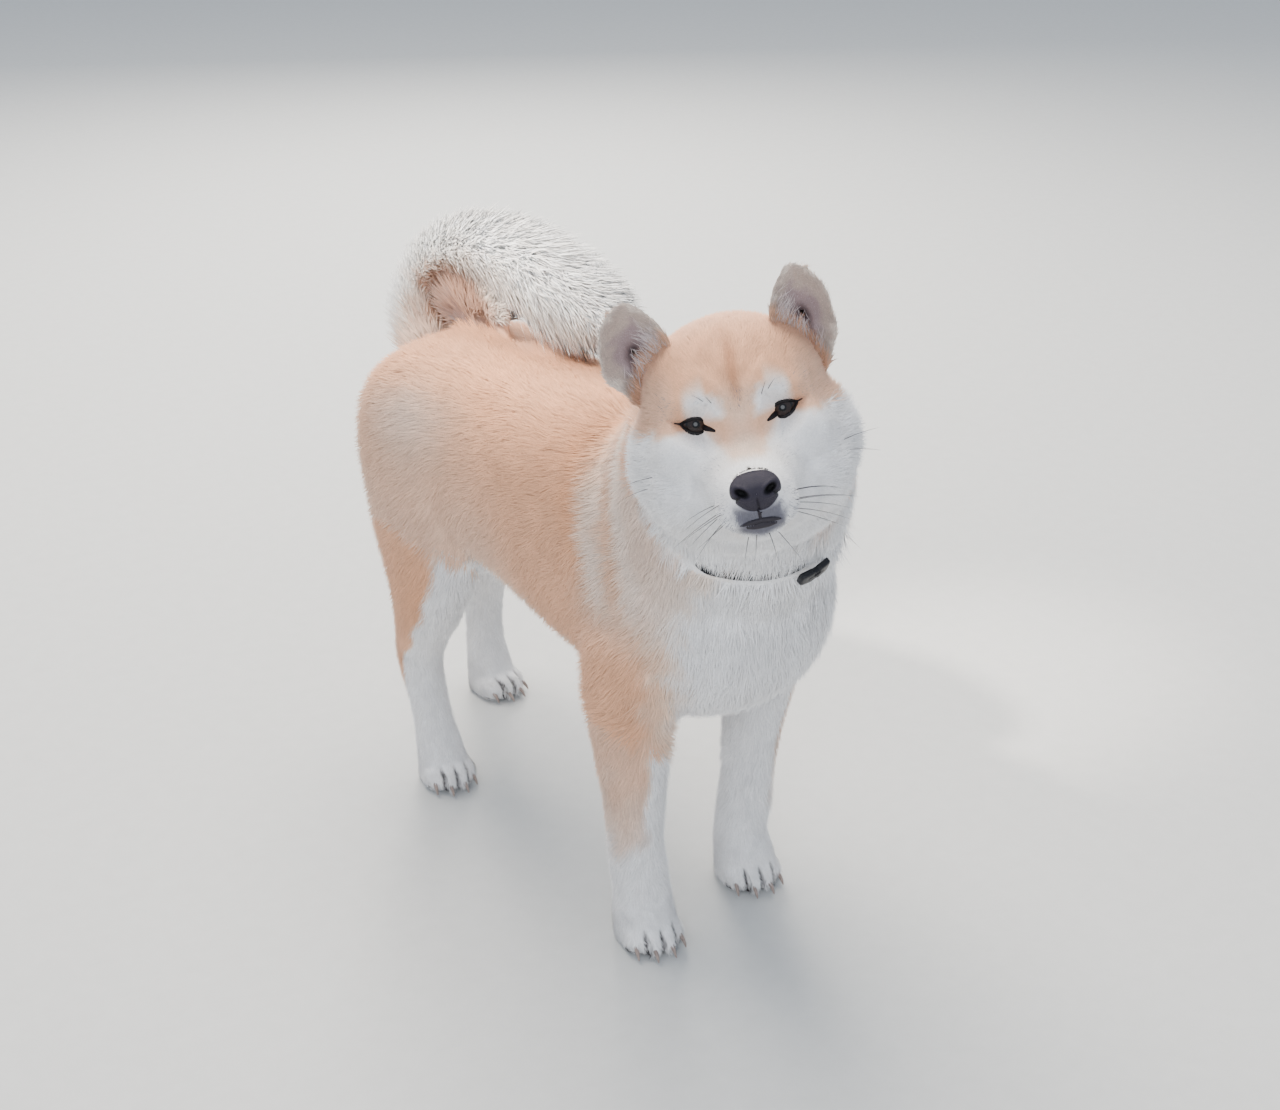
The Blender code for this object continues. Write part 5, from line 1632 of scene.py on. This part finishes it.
def corner_path(tree, pose, reach, thick):
    """The dark crease that runs on from a corner of the lids over the skin, as a path and its radii."""
    ahead = (pose.to_3x3() @ Vector((0.0, 1.0, 0.0))).normalized()
    first = CREASE_STARTS[0] if reach > 0 else CREASE_STARTS[1]
    away, length = EYE_RAY
    shares = np.linspace(0.0, 1.0, STREAK_STEPS)
    radii = thick * (1 - 0.72 * shares ** 1.5)
    path = []
    for share, radius in zip(shares, radii):
        out = first + (reach - first) * share
        start = pose @ Vector((out, -away, 0.0))
        deep = (tree.ray_cast(start, ahead, length)[0] - start).length
        if abs(out) < EYE_RADIUS:
            deep = min(deep, away - math.sqrt(EYE_RADIUS ** 2 - out ** 2))
        path.append(np.array(start + ahead * (deep + 0.55 * radius - 0.0004)))
    return np.array(path), radii


def lid_material():
    """Bare dark skin with a fine grain."""
    nodes = Nodes("lids")
    nodes.paint()
    grain = nodes.noise(1800.0, 3.0, 0.6, nodes.place())
    nodes.join(nodes.span(grain.outputs["Fac"], 0.3, 0.7, 0.42, 0.60), nodes.shader.inputs["Roughness"])
    nodes.set(Specular_IOR_Level=0.2)
    nodes.bump(grain.outputs["Fac"], 0.3, 0.0002)
    return nodes.material


def lid_row(tree, pose, level, upper, lower):
    """Points around an eye at one offset from the opening, over the eyeball or down on the skin."""
    turn = np.linspace(0, 2 * math.pi, LID_COLUMNS, endpoint=False)
    wider = LID_CORNER * np.abs(np.cos(turn)) ** 14 if level > 0 else 0.0 * turn
    points = []
    for way, angle in zip(on_eye(level * (1 + wider), turn), turn):
        way = Vector(way)
        if upper is None:
            world = (pose.to_3x3() @ way).normalized()
            hit = tree.ray_cast(pose.translation + world * 0.05, -world, 0.05)[0]
            reach = (hit - pose.translation).length if hit else EYE_RADIUS
            reach = min(reach, EYE_RADIUS + 0.0040) + (0.0002 if level < 0.0030 else -0.0008)
        else:
            reach = EYE_RADIUS + lower + (upper - lower) * (0.5 + 0.5 * math.sin(angle))
        points.append(pose @ (way * reach))
    return points


def add_lids(skin):
    """Dark rims around the eyes, from the eyeball out to under the fur, with the streaks at their corners."""
    tree = skin.tree()
    material = lid_material()
    streaks = [
        (CREASE_ENDS[0] + STREAK_OUTER[0], STREAK_OUTER[1]),
        (CREASE_ENDS[1] - STREAK_INNER[0], STREAK_INNER[1]),
    ]
    for word, side in SIDES.items():
        pose = eye_pose(side)
        rim = []
        colours = []
        for level, upper, lower in LID_ROWS:
            rim.extend(lid_row(tree, pose, level, upper, lower))
            dark = np.full(LID_COLUMNS, smoothstep(0.0030, 0.0016, level))
            colours.append(mix(np.tile(LID_PALE, (LID_COLUMNS, 1)), LID_DARK, dark))
        quads = grid_faces(len(LID_ROWS), LID_COLUMNS)
        parts = [(np.array(rim), halved(quads if side < 0 else quads[:, ::-1]))]
        for reach, thick in streaks:
            path, radii = corner_path(tree, pose, reach, thick)
            parts.append(tube_arrays(path, radii, 8))
            colours.append(np.tile(STREAK_DARK, (len(parts[-1][0]), 1)))
        obj = mesh_object("lids_" + word, *joined(parts))
        add_colours(obj.data, eye_colour(np.vstack(colours)))
        subdivide(obj, 1)
        ride(obj, "eye", material)


def subdivide(obj, levels):
    """Rounds a mesh by subdivision."""
    smooth = obj.modifiers.new("round", "SUBSURF")
    smooth.levels = levels
    smooth.render_levels = levels
    apply_modifiers(obj)
    obj.data.shade_smooth()


def nose_surface(rows, columns):
    """Points of the nose leather in its own frame, with nostrils, side slits and the groove between them, and
    how much painted shade darkens each point.
    """
    way = ball_ways(*ball_grid(rows, columns, 0.01))
    sizes = np.array([NOSE_WIDTH / 2, NOSE_DEPTH, NOSE_HEIGHT / 2])
    points = way / (np.sum(np.abs(way / sizes) ** NOSE_POWER, axis=1) ** (1 / NOSE_POWER))[:, None]
    x, y, z = points.T
    low = smoothstep(0.1, -1.0, z / sizes[2])
    x *= 1 - 0.26 * low
    behind = 1 - 0.45 * smoothstep(-0.001, 0.006, y)
    x *= behind
    z *= behind
    front = smoothstep(0.0, -0.006, y)
    y += front * (0.0030 * smoothstep(0.25, 1.0, z / sizes[2]) + 0.0022 * low)
    across = np.abs(x)
    lean = (across - 0.0080) * 0.35
    hole = np.hypot((across - 0.0088) / 0.0042, (z - 0.0012 - lean) / 0.0029)
    wing = hump(hole, 1.45, 0.35) * front
    start = np.array([0.0108, -0.0004])
    run = np.array([0.0050, -0.0050])
    share = np.clip(((across - start[0]) * run[0] + (z - start[1]) * run[1]) / (run @ run), 0.0, 1.0)
    slit = np.hypot(across - start[0] - share * run[0], z - start[1] - share * run[1])
    slit = hump(slit, 0.0, 0.0010) * (y < 0.0040)
    groove = hump(x, 0.0, 0.0007) * smoothstep(-0.0010, -0.0060, z) * front
    dip = hump(x, 0.0, 0.0030) * front * 0.0006
    inward = -unit(points)
    hollow = smoothstep(1.25, 0.30, hole) * front
    points = points + inward * (0.0016 * slit + 0.0009 * groove - 0.0004 * wing)[:, None]
    points[:, 1] += 0.0042 * hollow + dip
    # Painted shade: the nostrils' hollows, the side slits and the groove are darkened as shade falls in them.
    dark = np.clip(hollow * 1.2 + slit * 0.6 + groove * 0.25, 0.0, 1.0)
    return points, dark


def add_nose():
    """The wet, pebbled leather of the nose."""
    nodes = Nodes("nose")
    nodes.paint()
    cells = nodes.add("TexVoronoi", feature="DISTANCE_TO_EDGE")
    cells.inputs["Scale"].default_value = 1150.0
    nodes.join(nodes.place(), cells.inputs["Vector"])
    height = nodes.span(cells.outputs["Distance"], 0.0, 0.30, 0.0, 1.0)
    nodes.bump(height, 0.55, 0.00035)
    nodes.join(nodes.span(cells.outputs["Distance"], 0.0, 0.4, 0.62, 0.44), nodes.shader.inputs["Roughness"])
    nodes.set(Specular_IOR_Level=0.16)
    rows, columns = 110, 150
    points, dark = nose_surface(rows, columns)
    # Painted shade: the leather goes to near black in the nostrils, and less in the slits and the groove.
    colour = mix(np.tile(LEATHER, (len(points), 1)), NOSTRIL_SHADE, dark)
    obj = mesh_object("nose_leather", from_head(points + np.array(NOSE_AT)), grid_faces(rows, columns))
    obj.data.shade_smooth()
    add_colours(obj.data, eye_colour(colour))
    flip_if_inside_out(obj)
    ride(obj, "nose", nodes.material, "nose")


def flip_if_inside_out(obj):
    """Turns the faces of a closed mesh outwards."""
    shell = bmesh.new()
    shell.from_mesh(obj.data)
    if shell.calc_volume(signed=True) < 0:
        bmesh.ops.reverse_faces(shell, faces=shell.faces)
    shell.to_mesh(obj.data)
    shell.free()


def joined_tubes(name, tubes, sides):
    """One mesh of many tubes, given as pairs of a path and its radii."""
    obj = mesh_object(name, *joined([tube_arrays(path, radii, sides) for path, radii in tubes]))
    obj.data.shade_smooth()
    return obj


def on_skin(tree, guesses, out):
    """The places of the skin nearest to guesses in the head's frame, raised by an amount."""
    found = []
    for guess in guesses:
        place, normal, _, _ = tree.find_nearest(HEAD @ Vector(guess))
        found.append(np.array(place + normal * out))
    return np.array(found)


def add_mouth(skin):
    """Black lips that meet under the nose, the groove above them and the rim of the lower jaw."""
    tree = skin.tree()
    half = curve_through(MOUTH_LINE, 5)
    line = np.vstack([half[:0:-1] * (-1, 1, 1), half])
    across = np.abs(line[:, 0])
    tubes = []
    for lip, moved, out in (
        (UPPER_LIP, (0.0, 0.0, 0.0012), 0.0003),
        (LOWER_LIP, (0.0, 0.0015, -0.0042), 0.0002),
    ):
        near = across < lip[-1][0]
        tubes.append((on_skin(tree, line[near] + np.array(moved), out), table_at(lip, across[near])))
    tubes.append((on_skin(tree, GROOVE, 0.0), GROOVE_RADII))
    ride(joined_tubes("lips", tubes, 10), "nose", plain_material("lips", LIPS, 0.60, 1500.0, 0.4))


def add_whiskers(skin):
    """Whiskers of muzzle, cheeks, brows and chin."""
    tree = skin.tree()
    tubes = []
    for side in (-1, 1):
        for place, way, length in WHISKERS:
            root = on_skin(tree, [(place[0] * side, place[1], place[2])], -0.0005)[0]
            way = np.array(way) * (side, 1, 1) + DRAW.normal(0, 0.07, 3)
            if side < 0 and place[1] < -0.03:
                way = way + np.array([0.0, 0.0, -0.35])
            way = unit(way @ HEAD_ARRAY.T)
            length = length * DRAW.uniform(0.80, 1.15) * (0.74 if side < 0 else 1.0)
            bend = np.array([0.0, 0.0, -1.0]) * 0.16 + DRAW.normal(0, 0.04, 3)
            steps = np.linspace(0, 1, 9)[:, None]
            path = root + way * length * steps + bend * length * steps ** 2
            tubes.append((path, 0.00024 * (1 - steps[:, 0]) ** 0.7 + 0.00003))
    obj = joined_tubes("whiskers", tubes, 5)
    ride(obj, "claw", plain_material("whiskers", WHISKER, 0.45))


def ear_shape(word):
    """Points of an ear's front and back, with each one's place across and along it."""
    inner, outer, tip = [np.array(point) for point in EAR_CORNERS[word]]
    base = (inner + outer) / 2
    rise = tip - base
    wide = (outer - inner) / 2
    back = unit(np.cross(wide, rise))
    if back[1] < 0:
        back = -back
    rows = curve_through(EAR_ROWS, 8)
    across = np.linspace(-1, 1, EAR_COLUMNS)
    height, share, bulge, thick = [rows[:, column][:, None] for column in range(4)]
    inset = EAR_INSET / np.linalg.norm(wide)
    spans = np.maximum(share - inset, 0.05) * across
    spans = spans * (1 - EAR_LIFT[word] * smoothstep(0.60, 0.0, height) * (across > 0))
    middle = base + rise * height[..., None] * 0.985 + wide * spans[..., None]
    arch = bulge * (1 - across ** 2)
    rim = np.maximum(0.25, 1 - across ** 4)
    half = np.maximum(thick - 2 * EAR_INSET, 0.0010) * rim * 0.5
    canal = hump(across, -0.02, 0.20) * hump(height, 0.27, 0.12)
    ridge = hump(across + 0.25 * height, 0.42, 0.10) * smoothstep(0.55, 0.10, height)
    ridge = ridge + 0.8 * hump(across, -0.48, 0.10) * smoothstep(0.45, 0.05, height)
    fold = hump(height - 0.25 * (across - 0.3), 0.20, 0.035) * smoothstep(0.0, 0.3, across)
    front = middle + back * (arch - half + 0.0035 * canal - 0.0022 * ridge - 0.0010 * fold)[..., None]
    rear = middle + back * (arch + half)[..., None]
    height = np.broadcast_to(height, arch.shape)
    across = np.broadcast_to(across, arch.shape)
    return front, rear, across, height, canal


def ear_colours(across, height, canal, wobble):
    """Colours of an ear's inside: bare and dusky in the middle, cream and apricot at the rim, with painted
    shade in the canal and along a crease.
    """
    colour = np.tile(EAR_INSIDE, (len(across), 1)).astype(float)
    edge = np.abs(across) + 0.06 * wobble
    outer = np.maximum(smoothstep(0.40, 0.70, edge), smoothstep(0.55, 0.75, height + 0.04 * wobble))
    colour = mix(colour, EAR_BEIGE, outer)
    # Painted shade: the hollow of the canal is darkened.
    colour = mix(colour, EAR_CANAL_SHADE, np.clip(canal * 1.2, 0, 1))
    # Painted shade along a crease near the root.
    crease = hump(height - 0.05 * np.cos(across * 5), 0.12, 0.018) * smoothstep(0.75, 0.45, edge)
    colour = mix(colour, EAR_CREASE_SHADE, 0.6 * crease)
    fold = hump(across, -0.55, 0.20) * hump(height, 0.24, 0.15)
    colour = mix(colour, EAR_FOLD, 0.8 * fold)
    rim = np.maximum(smoothstep(0.84, 0.94, edge), smoothstep(0.91, 0.97, height + 0.02 * wobble))
    colour = mix(colour, CREAM, rim)
    colour = mix(colour, APRICOT, 0.8 * smoothstep(0.16, 0.02, height + 0.10 * across + 0.02 * wobble))
    return colour


def ear_mesh(word):
    """An ear's closed surface, with the place across and along it, the canal, and whether it is behind."""
    front, rear, across, height, canal = ear_shape(word)
    rows, columns = across.shape
    wide = columns * 2
    ring = np.concatenate([front, rear[:, ::-1]], axis=1)
    points = from_head(np.vstack([ring.reshape(-1, 3), ring[-1].mean(axis=0), ring[0].mean(axis=0)]))
    tip = rows * wide
    base = tip - wide
    around = np.arange(wide)
    beside = (around + 1) % wide
    faces = np.vstack([
        halved(grid_faces(rows, wide)),
        np.stack([np.full(wide, tip), base + around, base + beside], axis=1),
        np.stack([np.full(wide, tip + 1), beside, around], axis=1),
    ])
    obj = mesh_object("ear_skin_" + word, points, faces)
    if flip_needed(points, faces):
        faces = faces[:, ::-1]
        obj.data.flip_normals()
    obj.data.shade_smooth()
    ear = Surface(points, faces, edges_of(obj.data))
    ear.across = np.append(np.hstack([across, across[:, ::-1]]), [0.0, 0.0])
    ear.height = np.append(np.hstack([height, height]), [1.0, -0.3])
    ear.canal = np.append(np.hstack([canal, np.zeros_like(canal)]), [0.0, 0.0])
    ear.behind = np.append(np.hstack([np.zeros_like(across), np.ones_like(across)]), [1.0, 1.0])
    return obj, ear


def add_ear(word, bare, hair):
    """An ear with a fold and canal inside, fur on its back and rim, and long pale hair across its opening."""
    obj, ear = ear_mesh(word)
    wobble = ripple(ear.points, 0.008, 61)
    inside = ear_colours(ear.across, ear.height, ear.canal, wobble)
    outside = np.tile(APRICOT, (len(ear.points), 1)) * (1 + 0.02 * wobble[:, None])
    outside = mix(outside, CREAM, smoothstep(0.80, 1.0, np.abs(ear.across)) * 0.8)
    ear.colours = eye_colour(mix(inside, outside, ear.behind))
    add_colours(obj.data, ear.colours * 0.85)
    ride(obj, "ear_coat", bare, "ear_" + word)

    ear.owner = np.zeros(len(ear.points), dtype=int)
    inner, outer, _ = np.array(EAR_CORNERS[word])
    outwards = unit(from_head(outer) - from_head(inner))
    toward_tip = unit(ear.points[-2] - ear.points)
    ways = toward_tip + outwards * (ear.across * (1 - ear.behind) * 0.9)[:, None]
    ear.ways = into_surface(ways, ear.normals)
    ear.numbers = ear_numbers(ear)
    plan = np.stack([ear.across * 0.24 + 0.25 + 0.5 * ear.behind, (ear.height + 0.3) / 1.3], axis=1)
    ear.plan = np.clip(plan, 0.004, 0.992)
    roots = scatter(ear)
    roots.colours = roots.colours * DRAW.normal(1.0, 0.13, len(roots.places))[:, None]
    coat = tufts("coat_ear_" + word, roots, 1, 0.30, wild=0.20, sunk=0.0004)
    ride(coat, "ear_coat", hair, "ear_" + word)
    ride(ear_hair(word, ear, outwards), "ear_coat", hair)


def ear_numbers(ear):
    """Depth, length, width and density of an ear's coat."""
    rim = smoothstep(0.72, 0.95, np.abs(ear.across))
    rim = np.maximum(rim, smoothstep(0.80, 0.95, ear.height))
    numbers = np.tile(EAR_COAT["inside"], (len(ear.points), 1))
    numbers = mix(numbers, EAR_COAT["outside"], np.maximum(ear.behind, rim))
    numbers = mix(numbers, EAR_COAT["canal"], smoothstep(0.45, 0.85, ear.canal))
    low = smoothstep(0.22, 0.06, ear.height + 0.10 * ear.across) * (1 - ear.behind)
    numbers = mix(numbers, EAR_COAT["foot"], low)
    numbers[ear.height < -0.12, 3] = 0.0
    return numbers


def flip_needed(points, triangles):
    """Whether a closed surface has its faces turned inwards."""
    a, b, c = points[triangles.T]
    return np.einsum("ij,ij->i", a - points.mean(axis=0), np.cross(b - a, c - a)).sum() < 0


def ear_hair(word, ear, outwards):
    """Long pale hair that grows from both edges of the opening and sweeps up and over it."""
    band = hump(ear.across, -0.62, 0.20) * hump(ear.height, 0.22, 0.16)
    band += 0.4 * hump(ear.height, 0.06, 0.10) * smoothstep(1.0, 0.7, np.abs(ear.across))
    ear.numbers = np.tile(EAR_HAIR_COAT, (len(band), 1))
    ear.numbers[:, 3] *= band * (1 - ear.behind) * (ear.height > -0.10)
    inwards = -np.sign(ear.across) * 0.30
    ear.ways = into_surface(ear.ways + outwards * inwards[:, None], ear.normals)
    roots = scatter(ear)
    roots.colours = np.tile(eye_colour(EAR_HAIR), (len(roots.places), 1))
    return tufts("ear_hair_" + word, roots, 2, 0.50, wild=0.30, sunk=0.0004, soft=0.5, root_shade=0.9,
                 round_to=roots.normals)


def add_claws():
    """Smooth horn over the coarse claws of the solids."""
    horn = plain_material("claws", HORN, 0.45, 500.0, 0.15, 0.05)
    for word in SIDES:
        for foot in ("fore", "hind"):
            for toe in range(1, 5):
                node = f"{foot}claw_{word}_{toe}"
                points, faces, _ = welded(node)
                obj = mesh_object("horn_" + node, points, faces)
                subdivide(obj, 2)
                ride(obj, "claw", horn, node)


def add_pads():
    """Dark pads under the toes and the palm of each foot."""
    leather = plain_material("pads", PAD, 0.7, 900.0, 0.5)
    for node, ((out, place), turn, size) in PAW_PLACES.items():
        ahead = np.array([math.sin(turn), -math.cos(turn), 0.0])
        beside = np.array([math.cos(turn), math.sin(turn), 0.0])
        axes = np.array([beside, ahead, (0.0, 0.0, 1.0)])
        centre = np.array([out, place, 0.0036]) + SHIFT_ARRAY
        spots = [(share * TOE_SPREAD * size, step + 0.002, 0.0062, 0.0080) for share, step in TOES]
        spots.append((0.0, -0.008, 0.0125, 0.0105))
        parts = []
        for across, step, wide, deep in spots:
            ball, faces = flat_ball(wide * size, deep * size, 0.0034)
            parts.append((centre + beside * across + ahead * step + ball @ axes, faces))
        obj = mesh_object("pads_" + node, *joined(parts))
        obj.data.shade_smooth()
        flip_if_inside_out(obj)
        ride(obj, "claw", leather)


def flat_ball(wide, deep, high, low=0.92):
    """A ball flattened below, as points and quads."""
    rows, columns = 12, 20
    angle, turn = ball_grid(rows, columns, 0.02)
    points = np.stack([
        wide * np.sin(angle) * np.cos(turn), deep * np.sin(angle) * np.sin(turn), high * np.cos(angle)
    ], axis=1)
    points[:, 2] = np.maximum(points[:, 2], -high * low)
    return points, grid_faces(rows, columns)


def strap_ring(skin):
    """Radius of the strap's inner face, the way outwards, and how near it is to the open front."""
    tree = skin.tree()
    centre = COLLAR_AT + SHIFT
    start = COLLAR_NORMAL.orthogonal().normalized()
    throat = strap_front(STRAP_TURN)
    rows = []
    for column in range(STRAP_COLUMNS):
        way = Matrix.Rotation(2 * math.pi * column / STRAP_COLUMNS, 3, COLLAR_NORMAL) @ start
        inner = tree.ray_cast(centre + way * 0.25, -way)[0]
        front = float(smoothstep(*STRAP_SHOWS, way.dot(throat)))
        rows.append(((inner - centre).length - STRAP_SUNK + STRAP_RISES * front, *way, front))
    rows = np.array(rows)
    for _ in range(4):
        reach = rows[:, 0]
        rows[:, 0] = (np.roll(reach, 1) + reach * 2 + np.roll(reach, -1)) / 4
    return rows


def strap_outline():
    """The strap's section with rounded edges, as places across and out."""
    outline = []
    for index in range(STRAP_SIDES):
        angle = 2 * math.pi * index / STRAP_SIDES
        across, out = math.cos(angle), math.sin(angle)
        outline.append((
            math.copysign(abs(across) ** 0.45, across) * STRAP_WIDTH / 2,
            (1 + math.copysign(abs(out) ** 0.6, out)) * STRAP_THICK / 2,
        ))
    return outline


def add_strap(skin):
    """A woven strap with rounded edges, deep in the fur but for the throat."""
    centre = np.array(COLLAR_AT + SHIFT)
    normal = np.array(COLLAR_NORMAL)
    rows = strap_ring(skin)
    rows = np.vstack([rows, rows[:1]])
    points = [
        centre + row[1:4] * (row[0] + out - across * STRAP_LEAN * row[4]) + normal * across
        for row in rows for across, out in strap_outline()
    ]
    faces = grid_faces(len(rows), STRAP_SIDES) % (STRAP_COLUMNS * STRAP_SIDES)
    obj = mesh_object("webbing", points[:-STRAP_SIDES], faces)
    obj.data.shade_smooth()
    flip_if_inside_out(obj)
    ride(obj, "strap", plain_material("webbing", WEBBING, 0.75, 1400.0, 0.8), "collar_strap")


def buckle_surface(rows, columns):
    """Points of the buckle in its own frame, with its seam, side windows and raised tongue."""
    share, turn = np.meshgrid(
        np.linspace(-1, 1, rows), np.linspace(0, 2 * math.pi, columns, endpoint=False), indexing="ij"
    )
    share, turn = share.ravel(), turn.ravel()
    wide, thick, high = BUCKLE_SIZE
    power = 5.0
    radius = (np.abs(np.cos(turn)) ** power + np.abs(np.sin(turn)) ** power) ** (-1 / power)
    deep = radius * np.sin(turn)
    up = radius * np.cos(turn)
    ends = 1 - np.abs(share) ** 16 * 0.45
    seam = hump(share, 0.02, 0.020)
    window = smoothstep(0.30, 0.24, np.abs(np.abs(up) - 0.52)) * smoothstep(0.22, 0.18, np.abs(share + 0.02))
    tongue = smoothstep(0.30, 0.22, np.abs(up)) * smoothstep(0.55, 0.45, np.abs(share))
    lower = (deep > 0.3) * (0.18 * seam + 0.30 * window - 0.14 * tongue)
    return np.stack([
        share * wide / 2,
        -0.0016 * share ** 2 + deep * thick / 2 * ends * (1 - lower),
        up * high / 2 * table_at(BUCKLE_EDGE, share) * ends,
    ], axis=1)


def add_buckle():
    """A side-release buckle: two halves with a seam, side windows and a raised middle tongue."""
    rows, columns = 90, 64
    points = placed(buckle_surface(rows, columns), buckle_pose())
    first = len(points)
    caps = [points[:columns].mean(axis=0), points[-columns:].mean(axis=0)]
    base = (rows - 1) * columns
    triangles = halved(grid_faces(rows, columns)).tolist()
    for column in range(columns):
        beside = (column + 1) % columns
        triangles.append((first, beside, column))
        triangles.append((first + 1, base + column, base + beside))
    obj = mesh_object("clasp", np.vstack([points, caps]), triangles)
    obj.data.shade_smooth()
    flip_if_inside_out(obj)
    ride(obj, "buckle", plain_material("clasp", CLASP, 0.42, 700.0, 0.15), "collar_buckle")


def buckle_pose():
    """The buckle's frame: X along the strap, Y outwards, Z up the strap's width."""
    centre = COLLAR_AT + SHIFT
    outwards = strap_front(BUCKLE_TURN)
    away = (box_middle("collar_buckle") - centre)
    level = away.dot(COLLAR_NORMAL)
    reach = (away - COLLAR_NORMAL * level).length + 0.0010
    along = COLLAR_NORMAL.cross(outwards).normalized()
    pose = Matrix((along, outwards, COLLAR_NORMAL)).transposed().to_4x4()
    pose.translation = centre + outwards * reach + COLLAR_NORMAL * level
    return pose @ Matrix.Rotation(-BUCKLE_SPIN, 4, "Y")


def add_camera():
    """The camera at the place it had for the photograph."""
    azimuth, elevation = CAMERA_AZIMUTH, CAMERA_ELEVATION
    back = Vector((
        math.sin(azimuth) * math.cos(elevation), -math.cos(azimuth) * math.cos(elevation), math.sin(elevation)
    ))
    right = Vector((math.cos(azimuth), math.sin(azimuth), 0.0))
    up = back.cross(right)
    cosine, sine = math.cos(CAMERA_ROLL), math.sin(CAMERA_ROLL)
    right, up = right * cosine + up * sine, up * cosine - right * sine
    data = bpy.data.cameras.new("camera")
    data.sensor_width = SENSOR_WIDTH
    data.lens = FOCAL_PIXELS * SENSOR_WIDTH / PHOTO_WIDTH
    camera = bpy.data.objects.new("camera", data)
    bpy.context.scene.collection.objects.link(camera)
    pose = Matrix((right, up, back)).transposed().to_4x4()
    pose.translation = CAMERA_TARGET + back * CAMERA_DISTANCE + SHIFT
    camera.matrix_world = pose
    bpy.context.scene.camera = camera


def add_light(name, place, target, size, power, colour):
    """A round lamp that shines from its place to the target; the sun is a narrow beam."""
    is_sun = name == "sun"
    data = bpy.data.lights.new(name, "SPOT" if is_sun else "AREA")
    data.energy = power
    data.color = colour
    if is_sun:
        data.shadow_soft_size = SUN_RADIUS
        data.spot_size = SUN_ANGLE
        data.spot_blend = 1.0
    else:
        data.shape = "DISK"
        data.size = size
    light = bpy.data.objects.new(name, data)
    light.location = place
    light.rotation_euler = (Vector(place) - Vector(target)).to_track_quat("Z", "Y").to_euler()
    bpy.context.scene.collection.objects.link(light)


def floor_material():
    """A pale, slightly clouded floor."""
    nodes = Nodes("floor")
    low, high = [eye_colour(tone) for tone in FLOOR_TONES]
    nodes.tones(nodes.noise(60.0, 3.0, 0.6, nodes.place()), low, high)
    nodes.set(Roughness=0.85)
    return nodes.material


def add_studio():
    """Floor, lamps and sky."""
    corners = [(x * FLOOR_HALF, y * FLOOR_HALF, FLOOR_LEVEL) for x, y in ((-1, -1), (1, -1), (1, 1), (-1, 1))]
    floor = mesh_object("floor", corners, [(0, 1, 2, 3)])
    floor.data.materials.append(floor_material())
    for light in LIGHTS:
        add_light(*light)
    world = bpy.data.worlds.new("world")
    world.use_nodes = True
    background = world.node_tree.nodes["Background"]
    background.inputs["Color"].default_value = SKY_COLOUR
    background.inputs["Strength"].default_value = 1.0
    bpy.context.scene.world = world


def build():
    """Camera, studio and all pieces of the dog."""
    add_camera()
    add_studio()
    obj, skin = build_skin()
    bare = skin_material()
    ride(obj, "red_coat", bare, *FLESH, *TAIL_NODES)
    add_coat(skin)
    add_eyes()
    add_lids(skin)
    add_nose()
    add_mouth(skin)
    add_whiskers(skin)
    hair = coat_material("ear_coat")
    for word in SIDES:
        add_ear(word, bare, hair)
    add_claws()
    add_pads()
    add_strap(skin)
    add_buckle()


build()
